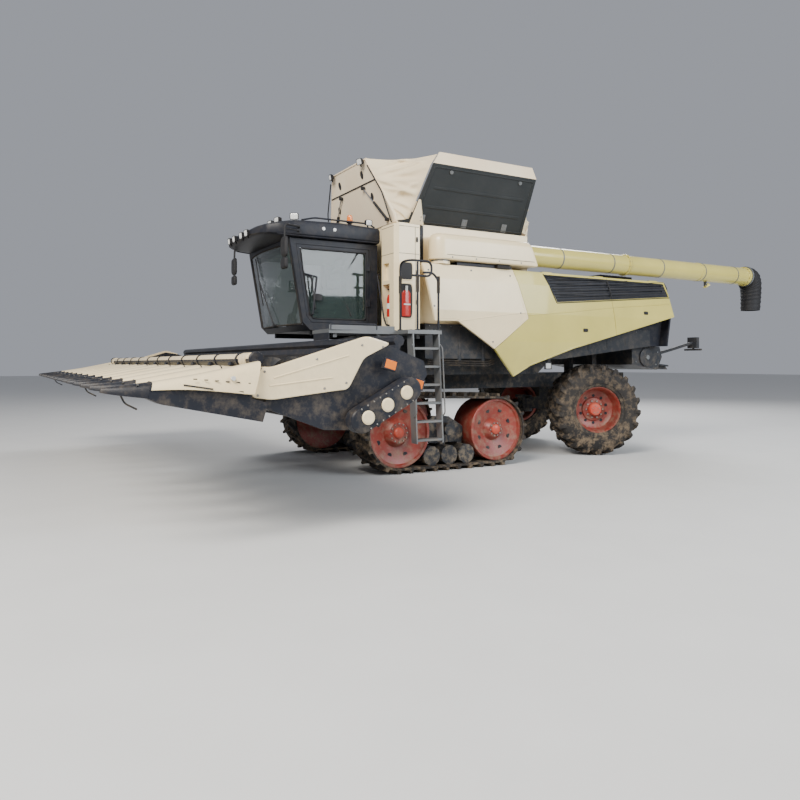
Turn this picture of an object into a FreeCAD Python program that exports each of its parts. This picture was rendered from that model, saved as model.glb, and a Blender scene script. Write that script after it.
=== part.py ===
import FreeCAD, Part
import math
import os

V = FreeCAD.Vector

# Corn combine harvester with half tracks and a twelve row corn header, in millimetres.
# Machine frame: Y is 0 over the middle of the tracks, -Y is forward, +X is the machine's left, Z is 0 on the ground.

# Overall reach
WORK_TIP_Y = -4948
AUGER_END_Y = 7520

# General clearances
SEAT_GAP = 0.3
RUN_GAP = 8

# Track units
TRACK_WIDTH = 635
TRACK_OUT_X = 1735
DRIVE_Y = -870
DRIVE_R = 600
IDLER_Y = 900
IDLER_R = 575
TRACK_LUG_H = 50
TRACK_BELT_T = 35
TRACK_LUGS = 17
TRACK_LUG_SLANT = 100
TRACK_WHEEL_W = 520
ROLLER_R = 150
ROLLER_YS = (-312, 4, 320)
TRACK_PIVOT_Z = 620
TRACK_PIVOT_R = 95

# Rear wheels
REAR_Y = 3505
TYRE_R = 805
TYRE_W = 710
RIM_R = 400
TYRE_LUG_H = 48
TYRE_LUGS = 13
WHEEL_X = 1375
KINGPIN_X = 900
KINGPIN_R = 45
STEER_REST_DEG = -24
STUB_R = 55
HUB_FLANGE_R = 170

# Body
BODY_X = 1300
LOWER_X = 1020
AXLE_ROOM_X = 440
HULL_FRONT_Y = -200
HULL_REAR_Y = 4850
HULL_TOP_Z = 2250
BEAM_X = 330
BEAM_W = 140
DECK_Z = 3110
DECK_T = 45

# Side panels
PANEL_T = 45
PANEL_TOP_Z = 3155
PANEL_OUT_X = 1605
SEAM = 8

# Grain tank
TANK_X = 1230
TANK_FRONT_Y = -640
TANK_REAR_Y = 1900
TANK_TOP_Z = 3800
TANK_T = 40
FLAP_T = 30

# Unloading auger
AUGER_X = 1430
AUGER_Z = 3430
AUGER_R = 175
AUGER_SIDES = 24
AUGER_PIVOT_Y = 0
COVER_R = 205

# Cab
CAB_X = 950
CAB_T = 60
CAB_REAR_Y = -860
CAB_FLOOR_Z = 2120
CAB_TOP_Z = 3460
ROOF_X = 1030

# Header
ROW_PITCH = 762
ROWS = 12
LIFT_Y = -550
LIFT_Z = 1950
FEEDER_X = 720
END_MARGIN = 78
CASE_WIDTH = 170
HEAD_END_X = ROW_PITCH * ROWS / 2 + END_MARGIN
CASE_X = HEAD_END_X + CASE_WIDTH


# Shape helpers
def box(x0, x1, y0, y1, z0, z1):
    return Part.makeBox(x1 - x0, y1 - y0, z1 - z0, V(x0, y0, z0))


def poly_face(points):
    return Part.Face(Part.makePolygon(points + [points[0]]))


def prism_x(yz, x0, x1):
    return poly_face([V(x0, y, z) for y, z in yz]).extrude(V(x1 - x0, 0, 0))


def prism_y(xz, y0, y1):
    return poly_face([V(x, y0, z) for x, z in xz]).extrude(V(0, y1 - y0, 0))


def prism_z(xy, z0, z1):
    return poly_face([V(x, y, z0) for x, y in xy]).extrude(V(0, 0, z1 - z0))


def cyl_x(x0, x1, y, z, r):
    return Part.makeCylinder(r, x1 - x0, V(x0, y, z), V(1, 0, 0))


PIN_SIDES = 12


def pin_x(x0, x1, y, z, r, sides=PIN_SIDES):
    """Flat-sided pin along X."""
    return bar((x0, y, z), (x1, y, z), r, sides)


def pin_y(y0, y1, x, z, r, sides=PIN_SIDES):
    """Flat-sided rod along Y."""
    return bar((x, y0, z), (x, y1, z), r, sides)


def cyl_z(z0, z1, x, y, r):
    return Part.makeCylinder(r, z1 - z0, V(x, y, z0), V(0, 0, 1))


def flat_solid(rings, closed=False):
    """Solid with flat faces through rings of equally many points, capped at its ends or closed on itself."""
    faces = []
    pairs = list(zip(rings, rings[1:])) + ([(rings[-1], rings[0])] if closed else [])
    for lo, hi in pairs:
        for k in range(len(lo)):
            j = (k + 1) % len(lo)
            a, b, c, d = lo[k], lo[j], hi[j], hi[k]
            if (c - d).Length < 1e-6:
                faces.append(poly_face([a, b, c]))
            elif abs((b - a).cross(d - a).dot(c - a)) < 1e-3:
                faces.append(poly_face([a, b, c, d]))
            else:
                faces += [poly_face([a, b, c]), poly_face([a, c, d])]
    if not closed:
        faces += [poly_face(rings[0]), poly_face(rings[-1])]
    solid = Part.makeSolid(Part.makeShell(faces))
    if solid.Volume < 0:
        solid.reverse()
    return solid


def facet_turn(profile, sides, x=0, y=0, z=0):
    """Turn (offset along X, radius) points about an axis along X, with flat sides."""
    rings = []
    for k in range(sides):
        a = 2 * math.pi * k / sides
        rings.append([V(x + o, y + r * math.cos(a), z + r * math.sin(a)) for o, r in profile])
    return flat_solid(rings, closed=True)


def across(d):
    """Two unit vectors across a direction."""
    ref = V(1, 0, 0) if abs(d.x) < 0.9 else V(0, 1, 0)
    u = d.cross(ref).normalize()
    return u, d.cross(u).normalize()


def bar(a, b, r, sides=8, r_end=None):
    """Straight bar with flat sides from a to b."""
    a, b = V(*a), V(*b)
    u, w = across((b - a).normalize())
    rings = []
    for c, rad in ((a, r), (b, r if r_end is None else r_end)):
        turns = [2 * math.pi * (k + 0.5) / sides for k in range(sides)]
        rings.append([c + u * (rad * math.cos(t)) + w * (rad * math.sin(t)) for t in turns])
    return flat_solid(rings)


def rail(points, r):
    """Thin rail through the points; each leg runs a little past its bends."""
    legs = []
    pts = [V(*p) for p in points]
    for k in range(len(pts) - 1):
        a, b = pts[k], pts[k + 1]
        d = (b - a).normalize() * (r * 0.7)
        a = a if k == 0 else a - d
        b = b if k == len(pts) - 2 else b + d
        legs.append(bar(a, b, r, 6))
    return fuse(legs)


def fuse(shapes):
    return shapes[0].multiFuse(shapes[1:]).removeSplitter() if len(shapes) > 1 else shapes[0]


def mirrored(shape):
    return shape.mirror(V(0, 0, 0), V(1, 0, 0))


def both(shape):
    return [shape, mirrored(shape)]


def bevel_z(shape, size, picked=lambda x, y: True):
    """Chamfer the upright edges that are picked by their place in plan."""
    edges = []
    for e in shape.Edges:
        a, b = e.Vertexes[0].Point, e.Vertexes[-1].Point
        if abs(a.x - b.x) < 1 and abs(a.y - b.y) < 1 and abs(a.z - b.z) > 1 and picked(a.x, a.y):
            edges.append(e)
    return shape.makeChamfer(size, edges)


# Track unit: the belt runs on the ground between two wheels of different size
TRACK_IN_X = TRACK_OUT_X - TRACK_WIDTH
TRACK_TILT = math.atan2(IDLER_R - DRIVE_R, IDLER_Y - DRIVE_Y)
TOP_ANGLE = math.pi / 2 + 2 * TRACK_TILT


def track_point(angle, off, rear):
    y, r = (IDLER_Y, IDLER_R) if rear else (DRIVE_Y, DRIVE_R)
    return (y + (r - off) * math.cos(angle), r + (r - off) * math.sin(angle))


BELT_SIDES = 10


def track_loop(off, x):
    """Closed belt outline, off millimetres inside the lug tips, with flats round its two wheels."""
    pts = []
    for rear, first in ((True, -math.pi / 2), (False, TOP_ANGLE)):
        sweep = TOP_ANGLE + math.pi / 2 if rear else 1.5 * math.pi - TOP_ANGLE
        for k in range(BELT_SIDES + 1):
            y, z = track_point(first + sweep * k / BELT_SIDES, off, rear)
            pts.append(V(x, y, z))
    return poly_face(pts)


def track_path(s):
    """Place on the lug tip line after s millimetres: (y, z) and the outward angle."""
    run = IDLER_Y - DRIVE_Y
    rear_arc = (TOP_ANGLE + math.pi / 2) * IDLER_R
    top_run = math.hypot(run, IDLER_R - DRIVE_R)
    top_run = math.sqrt(top_run ** 2 - (IDLER_R - DRIVE_R) ** 2)
    front_arc = (1.5 * math.pi - TOP_ANGLE) * DRIVE_R
    total = run + rear_arc + top_run + front_arc
    s = s % total
    if s < run:
        return DRIVE_Y + s, 0, -math.pi / 2, total
    s -= run
    if s < rear_arc:
        a = -math.pi / 2 + s / IDLER_R
        return track_point(a, LUG_SAG, True) + (a, total)
    s -= rear_arc
    if s < top_run:
        y0, z0 = track_point(TOP_ANGLE, 0, True)
        y1, z1 = track_point(TOP_ANGLE, 0, False)
        t = s / top_run
        return y0 + (y1 - y0) * t, z0 + (z1 - z0) * t, TOP_ANGLE, total
    s -= top_run
    a = TOP_ANGLE + s / DRIVE_R
    return track_point(a, LUG_SAG, False) + (a, total)


LUG_BASE = 78
LUG_TIP = 52
LUG_ROOT = 8
LUG_SAG = LUG_TIP ** 2 / 8 / IDLER_R


def lug_section(x, y, z, angle, height, base, tip):
    """Four-cornered section of a lug whose tip lies at (y, z), facing outward at the angle."""
    n = (math.cos(angle), math.sin(angle))
    t = (-n[1], n[0])
    corners = [(-base / 2, height), (base / 2, height), (tip / 2, 0), (-tip / 2, 0)]
    pts = [V(x, y + t[0] * a - n[0] * d, z + t[1] * a - n[1] * d) for a, d in corners]
    return pts


def track_belt():
    solid = track_loop(TRACK_LUG_H, TRACK_IN_X).extrude(V(TRACK_WIDTH, 0, 0))
    solid = solid.cut(track_loop(TRACK_LUG_H + TRACK_BELT_T, TRACK_IN_X).extrude(V(TRACK_WIDTH, 0, 0)))
    total = track_path(0)[3]
    mid = (TRACK_IN_X + TRACK_OUT_X) / 2
    lugs = []
    for k in range(TRACK_LUGS):
        for x_in, x_out, start in ((mid, TRACK_OUT_X, 0), (mid, TRACK_IN_X, 0.5)):
            s = (k + start) * total / TRACK_LUGS
            ends = []
            for x, shift in ((x_in, 0), (x_out, TRACK_LUG_SLANT)):
                y, z, a, _ = track_path(s + shift)
                ends.append(lug_section(x, y, z, a, TRACK_LUG_H + LUG_ROOT, LUG_BASE, LUG_TIP))
            lugs.append(flat_solid(ends))
    return solid.multiFuse(lugs)


WHEEL_BORE = 82
TRACK_MID_X = (TRACK_IN_X + TRACK_OUT_X) / 2


WHEEL_SIDES = 12


def dished_wheel(r, width, hub_r, dish):
    """Steel track wheel: rim, set-back web and hub, turned about X, with its outer face towards +X."""
    w = width / 2
    profile = [(-w, r - 45), (-w, r), (w, r), (w, r - 45), (w - dish, hub_r + 60), (w - 30, hub_r),
               (w - 30, WHEEL_BORE), (-w + 60, WHEEL_BORE), (-w + 60, hub_r)]
    return facet_turn(profile, WHEEL_SIDES, TRACK_MID_X)


def track_wheels(side):
    out = []
    for y, r, hub in ((DRIVE_Y, DRIVE_R, 165), (IDLER_Y, IDLER_R, 130)):
        land = (r - TRACK_LUG_H - TRACK_BELT_T) * math.cos(math.pi / 2 / BELT_SIDES) - SEAT_GAP
        wheel = dished_wheel(land, TRACK_WHEEL_W, hub, 110)
        wheel.translate(V(0, y, r))
        out.append(wheel if side > 0 else mirrored(wheel))
    return out


ROLLER_LAND = TRACK_LUG_H + TRACK_BELT_T + SEAT_GAP
ROLLER_SIDES = 10
ROLLER_Z = ROLLER_LAND + ROLLER_R * math.cos(math.pi / ROLLER_SIDES)
SHAFT_R = WHEEL_BORE * math.cos(math.pi / WHEEL_SIDES) - SEAT_GAP
FRAME_X0 = TRACK_MID_X - 60
FRAME_X1 = TRACK_MID_X + 60


def track_frame():
    """Rocking frame of one track: a beam from wheel to wheel on the axle's pivot, with its ground rollers."""
    beam = prism_x([(DRIVE_Y + 560, 520), (DRIVE_Y + 640, 400), (IDLER_Y - 580, 400), (IDLER_Y - 520, 470),
                    (IDLER_Y - 520, 640), (120, 800), (-180, 810), (DRIVE_Y + 560, 690)], FRAME_X0, FRAME_X1)
    pieces = [beam, pin_x(AXLE_END_X + SEAT_GAP, TRACK_OUT_X - 40, 0, TRACK_PIVOT_Z, TRACK_PIVOT_R)]
    inner = TRACK_IN_X + 20
    for y, z in ((DRIVE_Y, DRIVE_R), (IDLER_Y, IDLER_R)):
        pieces.append(prism_x([(y, z - 60), (0, 520), (0, 720), (y, z + 60)], inner, inner + 18))
        pieces.append(bar((inner, y, z), (TRACK_MID_X + TRACK_WHEEL_W / 2 - 20, y, z), SHAFT_R, WHEEL_SIDES))
    for y in ROLLER_YS:
        pieces.append(box(FRAME_X0, FRAME_X1, y - 45, y + 45, ROLLER_Z - 30, 460))
        pieces.append(pin_x(TRACK_IN_X + 60, TRACK_OUT_X - 60, y, ROLLER_Z, ROLLER_R, ROLLER_SIDES))
    return fuse(pieces)


AXLE_END_X = TRACK_IN_X - 60


BEAM_LOW_Z = 1180
BEAM_H = 260
HULL_LOW_Z = BEAM_LOW_Z + BEAM_H


def under_hull(y):
    """Height of the hull's sloping underside over the rear axle."""
    return 1700 + (y - 2620) * (1950 - 1700) / (HULL_REAR_Y - 2620)


def chassis_frame():
    """Two long beams, cross members, the front axle beam with its drop arms, and the hitch at the rear."""
    top = BEAM_LOW_Z + BEAM_H
    pieces = [box(x - BEAM_W / 2, x + BEAM_W / 2, HULL_FRONT_Y, HULL_REAR_Y + 260, BEAM_LOW_Z, top)
              for x in (-BEAM_X, BEAM_X)]
    for y in (HULL_FRONT_Y + 80, 1200, 2300, HULL_REAR_Y + 120):
        pieces.append(box(-BEAM_X, BEAM_X, y - 60, y + 60, BEAM_LOW_Z + 30, BEAM_LOW_Z + 200))
    pieces.append(box(-BEAM_X, BEAM_X, REAR_Y - 160, REAR_Y + 160, BEAM_LOW_Z, BEAM_LOW_Z + 140))
    for y in (2760, HULL_REAR_Y - 550):
        for x in (-BEAM_X, BEAM_X):
            pieces.append(prism_x([(y - 60, top - 5), (y + 60, top - 5), (y + 60, under_hull(y + 60) - SEAT_GAP),
                                   (y - 60, under_hull(y - 60) - SEAT_GAP)], x - BEAM_W / 2, x + BEAM_W / 2))
    pieces.append(box(-AXLE_END_X, AXLE_END_X, -150, 150, 480, 760))
    for x in (-BEAM_X, BEAM_X):
        pieces.append(box(x - 110, x + 110, -140, 140, 700, BEAM_LOW_Z + 50))
    for x in (-CYL_X, CYL_X):
        for ear in (-1, 1):
            x0 = x + ear * (CYL_R + 22) - 10
            pieces.append(prism_x([(-140, 520), (-140, 740), (BARREL_Y - 50, BARREL_Z + 55),
                                   (BARREL_Y - 50, BARREL_Z - 55)], x0, x0 + 20))
        pieces.append(pin_x(x - CYL_R - 30, x + CYL_R + 30, BARREL_Y, BARREL_Z, CYL_PIN_R))
    tow = box(-60, 60, HULL_REAR_Y + 180, HITCH_Y + 60, HITCH_Z - 60, HITCH_Z + 60)
    slot = box(-61, 61, HITCH_Y - 70, HITCH_Y + 61, HITCH_Z - 25, HITCH_Z + 25)
    pin_hole = cyl_z(HITCH_Z - 70, HITCH_Z + 70, 0, HITCH_Y, HITCH_R)
    pieces.append(box(-BEAM_X, BEAM_X, HULL_REAR_Y + 170, HULL_REAR_Y + 210, HITCH_Z - 60, BEAM_LOW_Z + 200))
    return fuse(pieces + [tow]).cut(slot).cut(pin_hole)


HITCH_Y = HULL_REAR_Y + 420
HITCH_Z = 1000
HITCH_R = 16
CYL_X = 520
CYL_R = 65
ROD_R = 38
CYL_PIN_R = 28
BARREL_Y = -330
BARREL_Z = 640


# Rear axle, steering knuckles and wheels
AXLE_Z = TYRE_R
FORK_ROOM = 110
HUB_SEAT = -12


def rear_axle():
    """Beam on a centre pivot, with a fork at each end for the kingpin."""
    beam = prism_y([(-700, AXLE_Z - 90), (700, AXLE_Z - 90), (700, AXLE_Z + 90), (250, AXLE_Z + 170),
                    (-250, AXLE_Z + 170), (-700, AXLE_Z + 90)], REAR_Y - 90, REAR_Y + 90)
    pieces = [beam, box(-130, 130, REAR_Y - 160, REAR_Y + 160, AXLE_Z + 100, BEAM_LOW_Z - SEAT_GAP)]
    for side in (-1, 1):
        kx = side * KINGPIN_X
        x0, x1 = sorted((side * 640, kx + side * 70))
        fork = box(x0, x1, REAR_Y - 90, REAR_Y + 90, AXLE_Z - 170, AXLE_Z + 170)
        x0, x1 = sorted((side * 700, kx + side * 71))
        pieces.append(fork.cut(box(x0, x1, REAR_Y - 91, REAR_Y + 91, AXLE_Z - FORK_ROOM, AXLE_Z + FORK_ROOM)))
    return fuse(pieces)


def steered(shape, side):
    """Turn a wheel-side piece by the steering angle shown at rest."""
    out = shape.copy()
    out.rotate(V(side * KINGPIN_X, REAR_Y, 0), V(0, 0, 1), STEER_REST_DEG)
    return out


def knuckle(side):
    s = side
    half = FORK_ROOM - SEAT_GAP
    body = bar((s * KINGPIN_X, REAR_Y, AXLE_Z - half), (s * KINGPIN_X, REAR_Y, AXLE_Z + half), KINGPIN_R + 20,
               PIN_SIDES)
    x0, x1 = sorted((s * KINGPIN_X, s * (WHEEL_X + HUB_SEAT - SEAT_GAP)))
    stub = pin_x(x0, x1, REAR_Y, AXLE_Z, STUB_R)
    arm = box(s * KINGPIN_X - 25, s * KINGPIN_X + 25, REAR_Y, REAR_Y + 240, AXLE_Z - 95, AXLE_Z - 50)
    return steered(fuse([body, stub, arm]), side)


RIM_SIDES = 20
RIM_W = TYRE_W / 2 - 45


def rim(side):
    """Drop-centre rim with a dished disc and a raised hub, on the knuckle's stub."""
    w = RIM_W
    p = [(-w, RIM_R - 45), (-w, RIM_R), (w, RIM_R), (w, RIM_R - 45), (90, RIM_R - 60), (60, HUB_FLANGE_R + 40),
         (110, HUB_FLANGE_R - 20), (110, 20), (-28, 20), (-28, HUB_FLANGE_R), (40, RIM_R - 80),
         (-w + 40, RIM_R - 45)]
    body = facet_turn(p, RIM_SIDES)
    core = bar((-28, 0, 0), (110, 0, 0), 24, 6)
    body = fuse([body, core])
    body = body.cut(pin_x(-30, HUB_SEAT, 0, 0, STUB_R + 3))
    if side < 0:
        body.rotate(V(0, 0, 0), V(0, 0, 1), 180)
    body.translate(V(side * WHEEL_X, REAR_Y, AXLE_Z))
    return steered(body, side)


def tyre(side):
    """Farm tyre: square-shouldered carcass on the rim, with two rows of raked lugs."""
    w = TYRE_W / 2
    crown = TYRE_R - TYRE_LUG_H
    seat = RIM_R + SEAT_GAP * 2
    p = [(-RIM_W, seat), (-w, RIM_R + 190), (-w + 45, crown - 75), (-w + 130, crown - 10), (w - 130, crown - 10),
         (w - 45, crown - 75), (w, RIM_R + 190), (RIM_W, seat)]
    body = facet_turn(p, RIM_SIDES)
    lugs = []
    for k in range(TYRE_LUGS):
        for hand, start in ((1, 0), (-1, 0.5)):
            a0 = 2 * math.pi * (k + start) / TYRE_LUGS
            ends = []
            for x, r, depth, turn in ((-15, TYRE_R - LUG_SAG, TYRE_LUG_H + 25, 0), (w - 20, TYRE_R - 50, 110, 0.30)):
                a = a0 + turn
                y, z = r * math.cos(a), r * math.sin(a)
                ends.append(lug_section(hand * x, y, z, a, depth, LUG_BASE, LUG_TIP))
            lugs.append(flat_solid(ends))
    body = body.multiFuse(lugs)
    if side < 0:
        body.rotate(V(0, 0, 0), V(0, 0, 1), 180)
    body.translate(V(side * WHEEL_X, REAR_Y, AXLE_Z))
    return steered(body, side)


# Body between the tracks and above the rear axle
def separator_hull():
    """Closed threshing body, narrow between the tracks, with the feeder's pivot ears and the cab's two beams."""
    low_z = HULL_LOW_Z + SEAT_GAP
    low = prism_x([(HULL_FRONT_Y, low_z), (2300, low_z), (2620, 1700), (HULL_FRONT_Y, 1700)], -LOWER_X, LOWER_X)
    high = prism_x([(HULL_FRONT_Y, 1700), (2620, 1700), (HULL_REAR_Y, 1950), (HULL_REAR_Y, HULL_TOP_Z),
                    (HULL_FRONT_Y, HULL_TOP_Z)], -BODY_X, BODY_X)
    pieces = [low, high]
    for s in (-1, 1):
        x0, x1 = sorted((s * (FEEDER_X + RUN_GAP), s * (FEEDER_X + 45)))
        ear = prism_x([(HULL_FRONT_Y + 5, 1750), (LIFT_Y - 60, LIFT_Z - 90), (LIFT_Y - 90, LIFT_Z),
                       (LIFT_Y - 60, CAB_FLOOR_Z - 70), (HULL_FRONT_Y + 5, CAB_FLOOR_Z - 70)], x0, x1)
        pieces.append(ear.cut(pin_x(x0 - 1, x1 + 1, LIFT_Y, LIFT_Z, PIVOT_R + PIVOT_GAP)))
        x0, x1 = sorted((s * (FEEDER_X + 10), s * CAB_BEAM_X))
        pieces.append(box(x0, x1, -1900, HULL_FRONT_Y + 5, CAB_FLOOR_Z - 71, CAB_FLOOR_Z - SEAT_GAP))
        x0, x1 = sorted((s * (BODY_X - 5), s * STOP_X))
        pieces.append(box(x0, x1, 2700, 2740, 2130, 2170))
    return fuse(pieces)


CAB_BEAM_X = FEEDER_X + 90
STOP_X = 1548
PIVOT_R = 45
PIVOT_GAP = 2.4
ENGINE = dict(x=560, y0=2500, y1=3850, h=820)


def engine_block():
    z = HULL_TOP_Z + SEAT_GAP
    return box(-ENGINE["x"], ENGINE["x"], ENGINE["y0"], ENGINE["y1"], z, z + ENGINE["h"])


def rear_hood():
    """Deck over the engine, side walls on the body, the rear cap and the hinge lugs of the rear panels."""
    base = HULL_TOP_Z + SEAT_GAP
    rear = HULL_REAR_Y
    front = TANK_REAR_Y + 20
    outer = [(front, base), (rear + SEAT_GAP, base), (rear + SEAT_GAP, 1950), (rear + 290, 1950), (rear + 380, 2480),
             (rear + 270, 3060), (rear + 190, DECK_Z + DECK_T), (front, DECK_Z + DECK_T)]
    inner = [(front - 5, base - 5), (rear + 40, base - 5), (rear + 40, 1900), (rear + 250, 1900), (rear + 340, 2480),
             (rear + 230, 3040), (rear + 160, DECK_Z), (front - 5, DECK_Z)]
    shell = prism_x(outer, -BODY_X, BODY_X).cut(prism_x(inner, -BODY_X + 45, BODY_X - 45))
    for x0 in (-BODY_X - 1, BODY_X - 46):
        shell = shell.cut(box(x0, x0 + 47, 2150, 4450, HULL_TOP_Z + 60, DECK_Z - 60))
    cap = prism_x(outer, -HOOD_X, HOOD_X).cut(prism_x(inner, -HOOD_X - 1, HOOD_X + 1))
    cap = cap.cut(box(-HOOD_X - 1, HOOD_X + 1, 1900, rear + 110, 1900, DECK_Z))
    pieces = [shell, cap, box(-900, 900, 3950, 4800, DECK_Z + DECK_T, DECK_Z + DECK_T + 150)]
    for s in (-1, 1):
        for y in HINGE_YS:
            x0, x1 = sorted((s * (HOOD_X - 35), s * HOOD_X))
            pieces.append(box(x0, x1, y, y + HINGE_LEN, DECK_Z + DECK_T - 5, HINGE_Z + 11))
            x0, x1 = sorted((s * (HOOD_X - 1), s * (HINGE_X - HINGE_R - SEAT_GAP)))
            pieces.append(box(x0, x1, y, y + HINGE_LEN, DECK_Z + DECK_T + 1, HINGE_Z + 11))
        x0, x1 = sorted((s * (BODY_X - 5), s * (STOP_X + 9)))
        pieces.append(box(x0, x1, 4500, 4540, 2400, 2440))
    return fuse(pieces)


HOOD_X = 1475
HINGE_X = 1500
HINGE_Z = 3161
HINGE_R = 12
HINGE_YS = (2000, 3200, 4600)
HINGE_LEN = 200


def chopper():
    """Straw chopper under the rear cap, its spreader vanes and the lamp arms on a cross tube."""
    rear = HULL_REAR_Y
    front = rear - 350
    body = prism_x([(front, 1600), (rear + 350, 1500), (rear + 480, 1750), (rear + 410, 1950 - SEAT_GAP),
                    (rear, 1950 - SEAT_GAP), (front, under_hull(front) - SEAT_GAP)], -1180, 1180)
    pieces = [body]
    for k in range(-2, 3):
        x = k * 500
        pieces.append(prism_x([(rear + 340, 1510), (rear + 340, 1600), (rear + 790, 1560), (rear + 850, 1500)],
                              x - 6, x + 6))
    pieces.append(prism_x([(rear + 340, 1600), (rear + 340, 1630), (rear + 790, 1590), (rear + 790, 1560)],
                          -1080, 1080))
    lamp_y = rear + 1435
    for side in (-1, 1):
        x = side * 1100
        lamp_x = x + side * 60
        arm = rail([(x, rear + 380, 1800), (x, rear + 850, 1900), (lamp_x, rear + 1400, 2040)], 32)
        lamp = box(lamp_x - 110, lamp_x + 110, lamp_y - 45, lamp_y + 35, 1930, 2150)
        guard = rail([(x - 150, lamp_y, 1900), (x + 250, lamp_y, 1900)], 22)
        pieces += [arm, lamp, guard, bar((lamp_x, lamp_y, 1890), (lamp_x, lamp_y, 1940), 22)]
    return fuse(pieces)


# Side panels: outlines (Y, Z) cut from one curved skin
FRONT_PANEL = [(-400, PANEL_TOP_Z), (-206, 2279), (218, 2285), (945, 1859), (1619, 2366), (1340, PANEL_TOP_Z)]
REAR_PANEL = [(1340 + SEAM, PANEL_TOP_Z), (1619 + SEAM, 2366), (945 + SEAM + 4, 1855), (1390, 1407), (1722, 1585),
              (2637, 1876), (5169, 2502), (4950, PANEL_TOP_Z)]
GRILLE_CUT = [(1984, 3120), (2252, 2660), (5030, 2875), (4925, 3120)]
SPLIT_TOP_Y = 3453
SPLIT_LOW_Y = 3660


SKIN = [(1522, 3200), (1582, 2930), (PANEL_OUT_X, 2450), (1588, 1980), (1492, 1350)]


def skin_band(out, y0, y1):
    """Wall (X, Z) of the side panels: bulged above, drawn in towards its lower edge."""
    outer = [(x - out, z) for x, z in SKIN]
    inner = [(x - out - PANEL_T, z) for x, z in SKIN[::-1]]
    return prism_y(outer + inner, y0, y1)


def panel(outline):
    return skin_band(0, -700, 5400).common(prism_x(outline, 1300, 1700))


def side_panel_front():
    """Front panel, bolted to the tank and the body with four brackets."""
    skin = panel(FRONT_PANEL)
    feet = [box(TANK_X + SEAT_GAP, 1515, y, y + 40, 3030, 3070) for y in (-330, 1100)]
    feet += [box(BODY_X + SEAT_GAP, 1580, y, y + 40, z, z + 40) for y, z in ((780, 2140), (1250, 2180))]
    return fuse([skin] + feet)


def side_panel_rear():
    """Rear panel with the grille's window, a split line and the knuckles of its top hinge."""
    skin = panel(REAR_PANEL).cut(prism_x(GRILLE_CUT, 1300, 1700))
    groove = prism_x([(SPLIT_TOP_Y - 5, 3200), (SPLIT_LOW_Y - 5, 2100), (SPLIT_LOW_Y + 5, 2100),
                      (SPLIT_TOP_Y + 5, 3200)], 1300, 1700).common(skin_band(-2, -700, 5400))
    groove = groove.cut(skin_band(12, -700, 5400))
    knuckles = [pin_y(y, y + HINGE_LEN, HINGE_X, HINGE_Z, HINGE_R) for y in HINGE_YS]
    return fuse([skin.cut(groove)] + knuckles)


def side_grille():
    """Slatted air grille in the rear panel's window, with a frame and a divider."""
    plate = skin_band(14, -700, 5400).common(prism_x(GRILLE_FIT, 1300, 1700))
    for k in range(4):
        z = 2745 + k * 92
        y0 = 2330 - k * 46
        cut = prism_x([(y0, z), (4880, z + 110), (4880, z + 150), (y0, z + 40)], 1300, 1700)
        plate = plate.cut(cut.common(prism_x(GRILLE_ROOM, 1300, 1700)).common(skin_band(10, -700, 5400))
                          .cut(skin_band(34, -700, 5400)))
    return plate


GRILLE_FIT = [(1984 + 2, 3120 - 0.5), (2252 + 1, 2660 + 0.5), (5030 - 0.5, 2875 + 0.5), (4925 - 0.5, 3120 - 0.5)]
GRILLE_ROOM = [(2060, 3095), (2300, 2705), (4960, 2905), (4890, 3095)]


# Grain tank and its covers
def grain_tank():
    """Open hopper with a sloping floor, its front wall raked over the cab, and the auger's turret on its side."""
    top, low = TANK_TOP_Z, HULL_TOP_Z + SEAT_GAP
    outer = prism_x([(TANK_FRONT_Y + 190, low), (TANK_REAR_Y, low), (TANK_REAR_Y, top), (TANK_FRONT_Y, top),
                     (TANK_FRONT_Y, top - 700)], -TANK_X, TANK_X)

    def ring(z, x, y0, y1):
        return [V(-x, y0, z), V(x, y0, z), V(x, y1, z), V(-x, y1, z)]
    t = TANK_T
    room = flat_solid([ring(low + 120, 420, 150, 1250), ring(3150, TANK_X - t, TANK_FRONT_Y + t, TANK_REAR_Y - t),
                       ring(top + 10, TANK_X - t, TANK_FRONT_Y + t, TANK_REAR_Y - t)])
    post = box(TANK_X - 5, 1465, AUGER_PIVOT_Y - 120, AUGER_PIVOT_Y + 120, 2900, PANEL_TOP_Z + 12)
    plate = bar((AUGER_X, AUGER_PIVOT_Y, PANEL_TOP_Z + 10), (AUGER_X, AUGER_PIVOT_Y, AUGER_Z - COVER_R - 11.3), 150, 12)
    return fuse([outer.cut(room), post, plate])


PIN_R = 14
FLAP_HINGE_X = TANK_X - 12
FLAP_HINGE_Z = TANK_TOP_Z + PIN_R + SEAT_GAP
FLAP_TOP = (1600, 4675)
FLAP_LIP = (1500, 4880)


def tank_flap():
    """Side cover, open: a ribbed plate leaning outward with a lip along its upper edge."""
    hx, hz = FLAP_HINGE_X, FLAP_HINGE_Z
    tx, tz = FLAP_TOP
    lx, lz = FLAP_LIP
    t = FLAP_T
    sec = [(hx - 4, hz), (hx + t - 4, hz - 6), (tx + t, tz - 6), (tx + t - 6, tz + 14), (lx + t - 2, lz + 4),
           (lx - 2, lz), (tx - 2, tz + 4)]
    body = prism_y(sec, -500, 1760)
    trim_front = prism_x([(-900, 3500), (-450, 3500), (-450, hz), (-240, tz), (-60, lz + 20), (-900, lz + 20)],
                         1000, 1800)
    body = body.cut(trim_front)
    pin = bar((hx + 6, -430, hz), (hx + 6, 1740, hz), PIN_R, PIN_SIDES)
    slope = (tx - hx) / (tz - hz)
    ribs = []
    for y in (60, 1180):
        z0, z1 = hz + 60, tz - 60
        ribs.append(prism_y([(hx + 2 + slope * 60, z0), (hx - 26 + slope * 60, z0), (tx - 28 - slope * 60, z1),
                             (tx - slope * 60, z1)], y, y + 40))
    return fuse([body, pin] + ribs)


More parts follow.
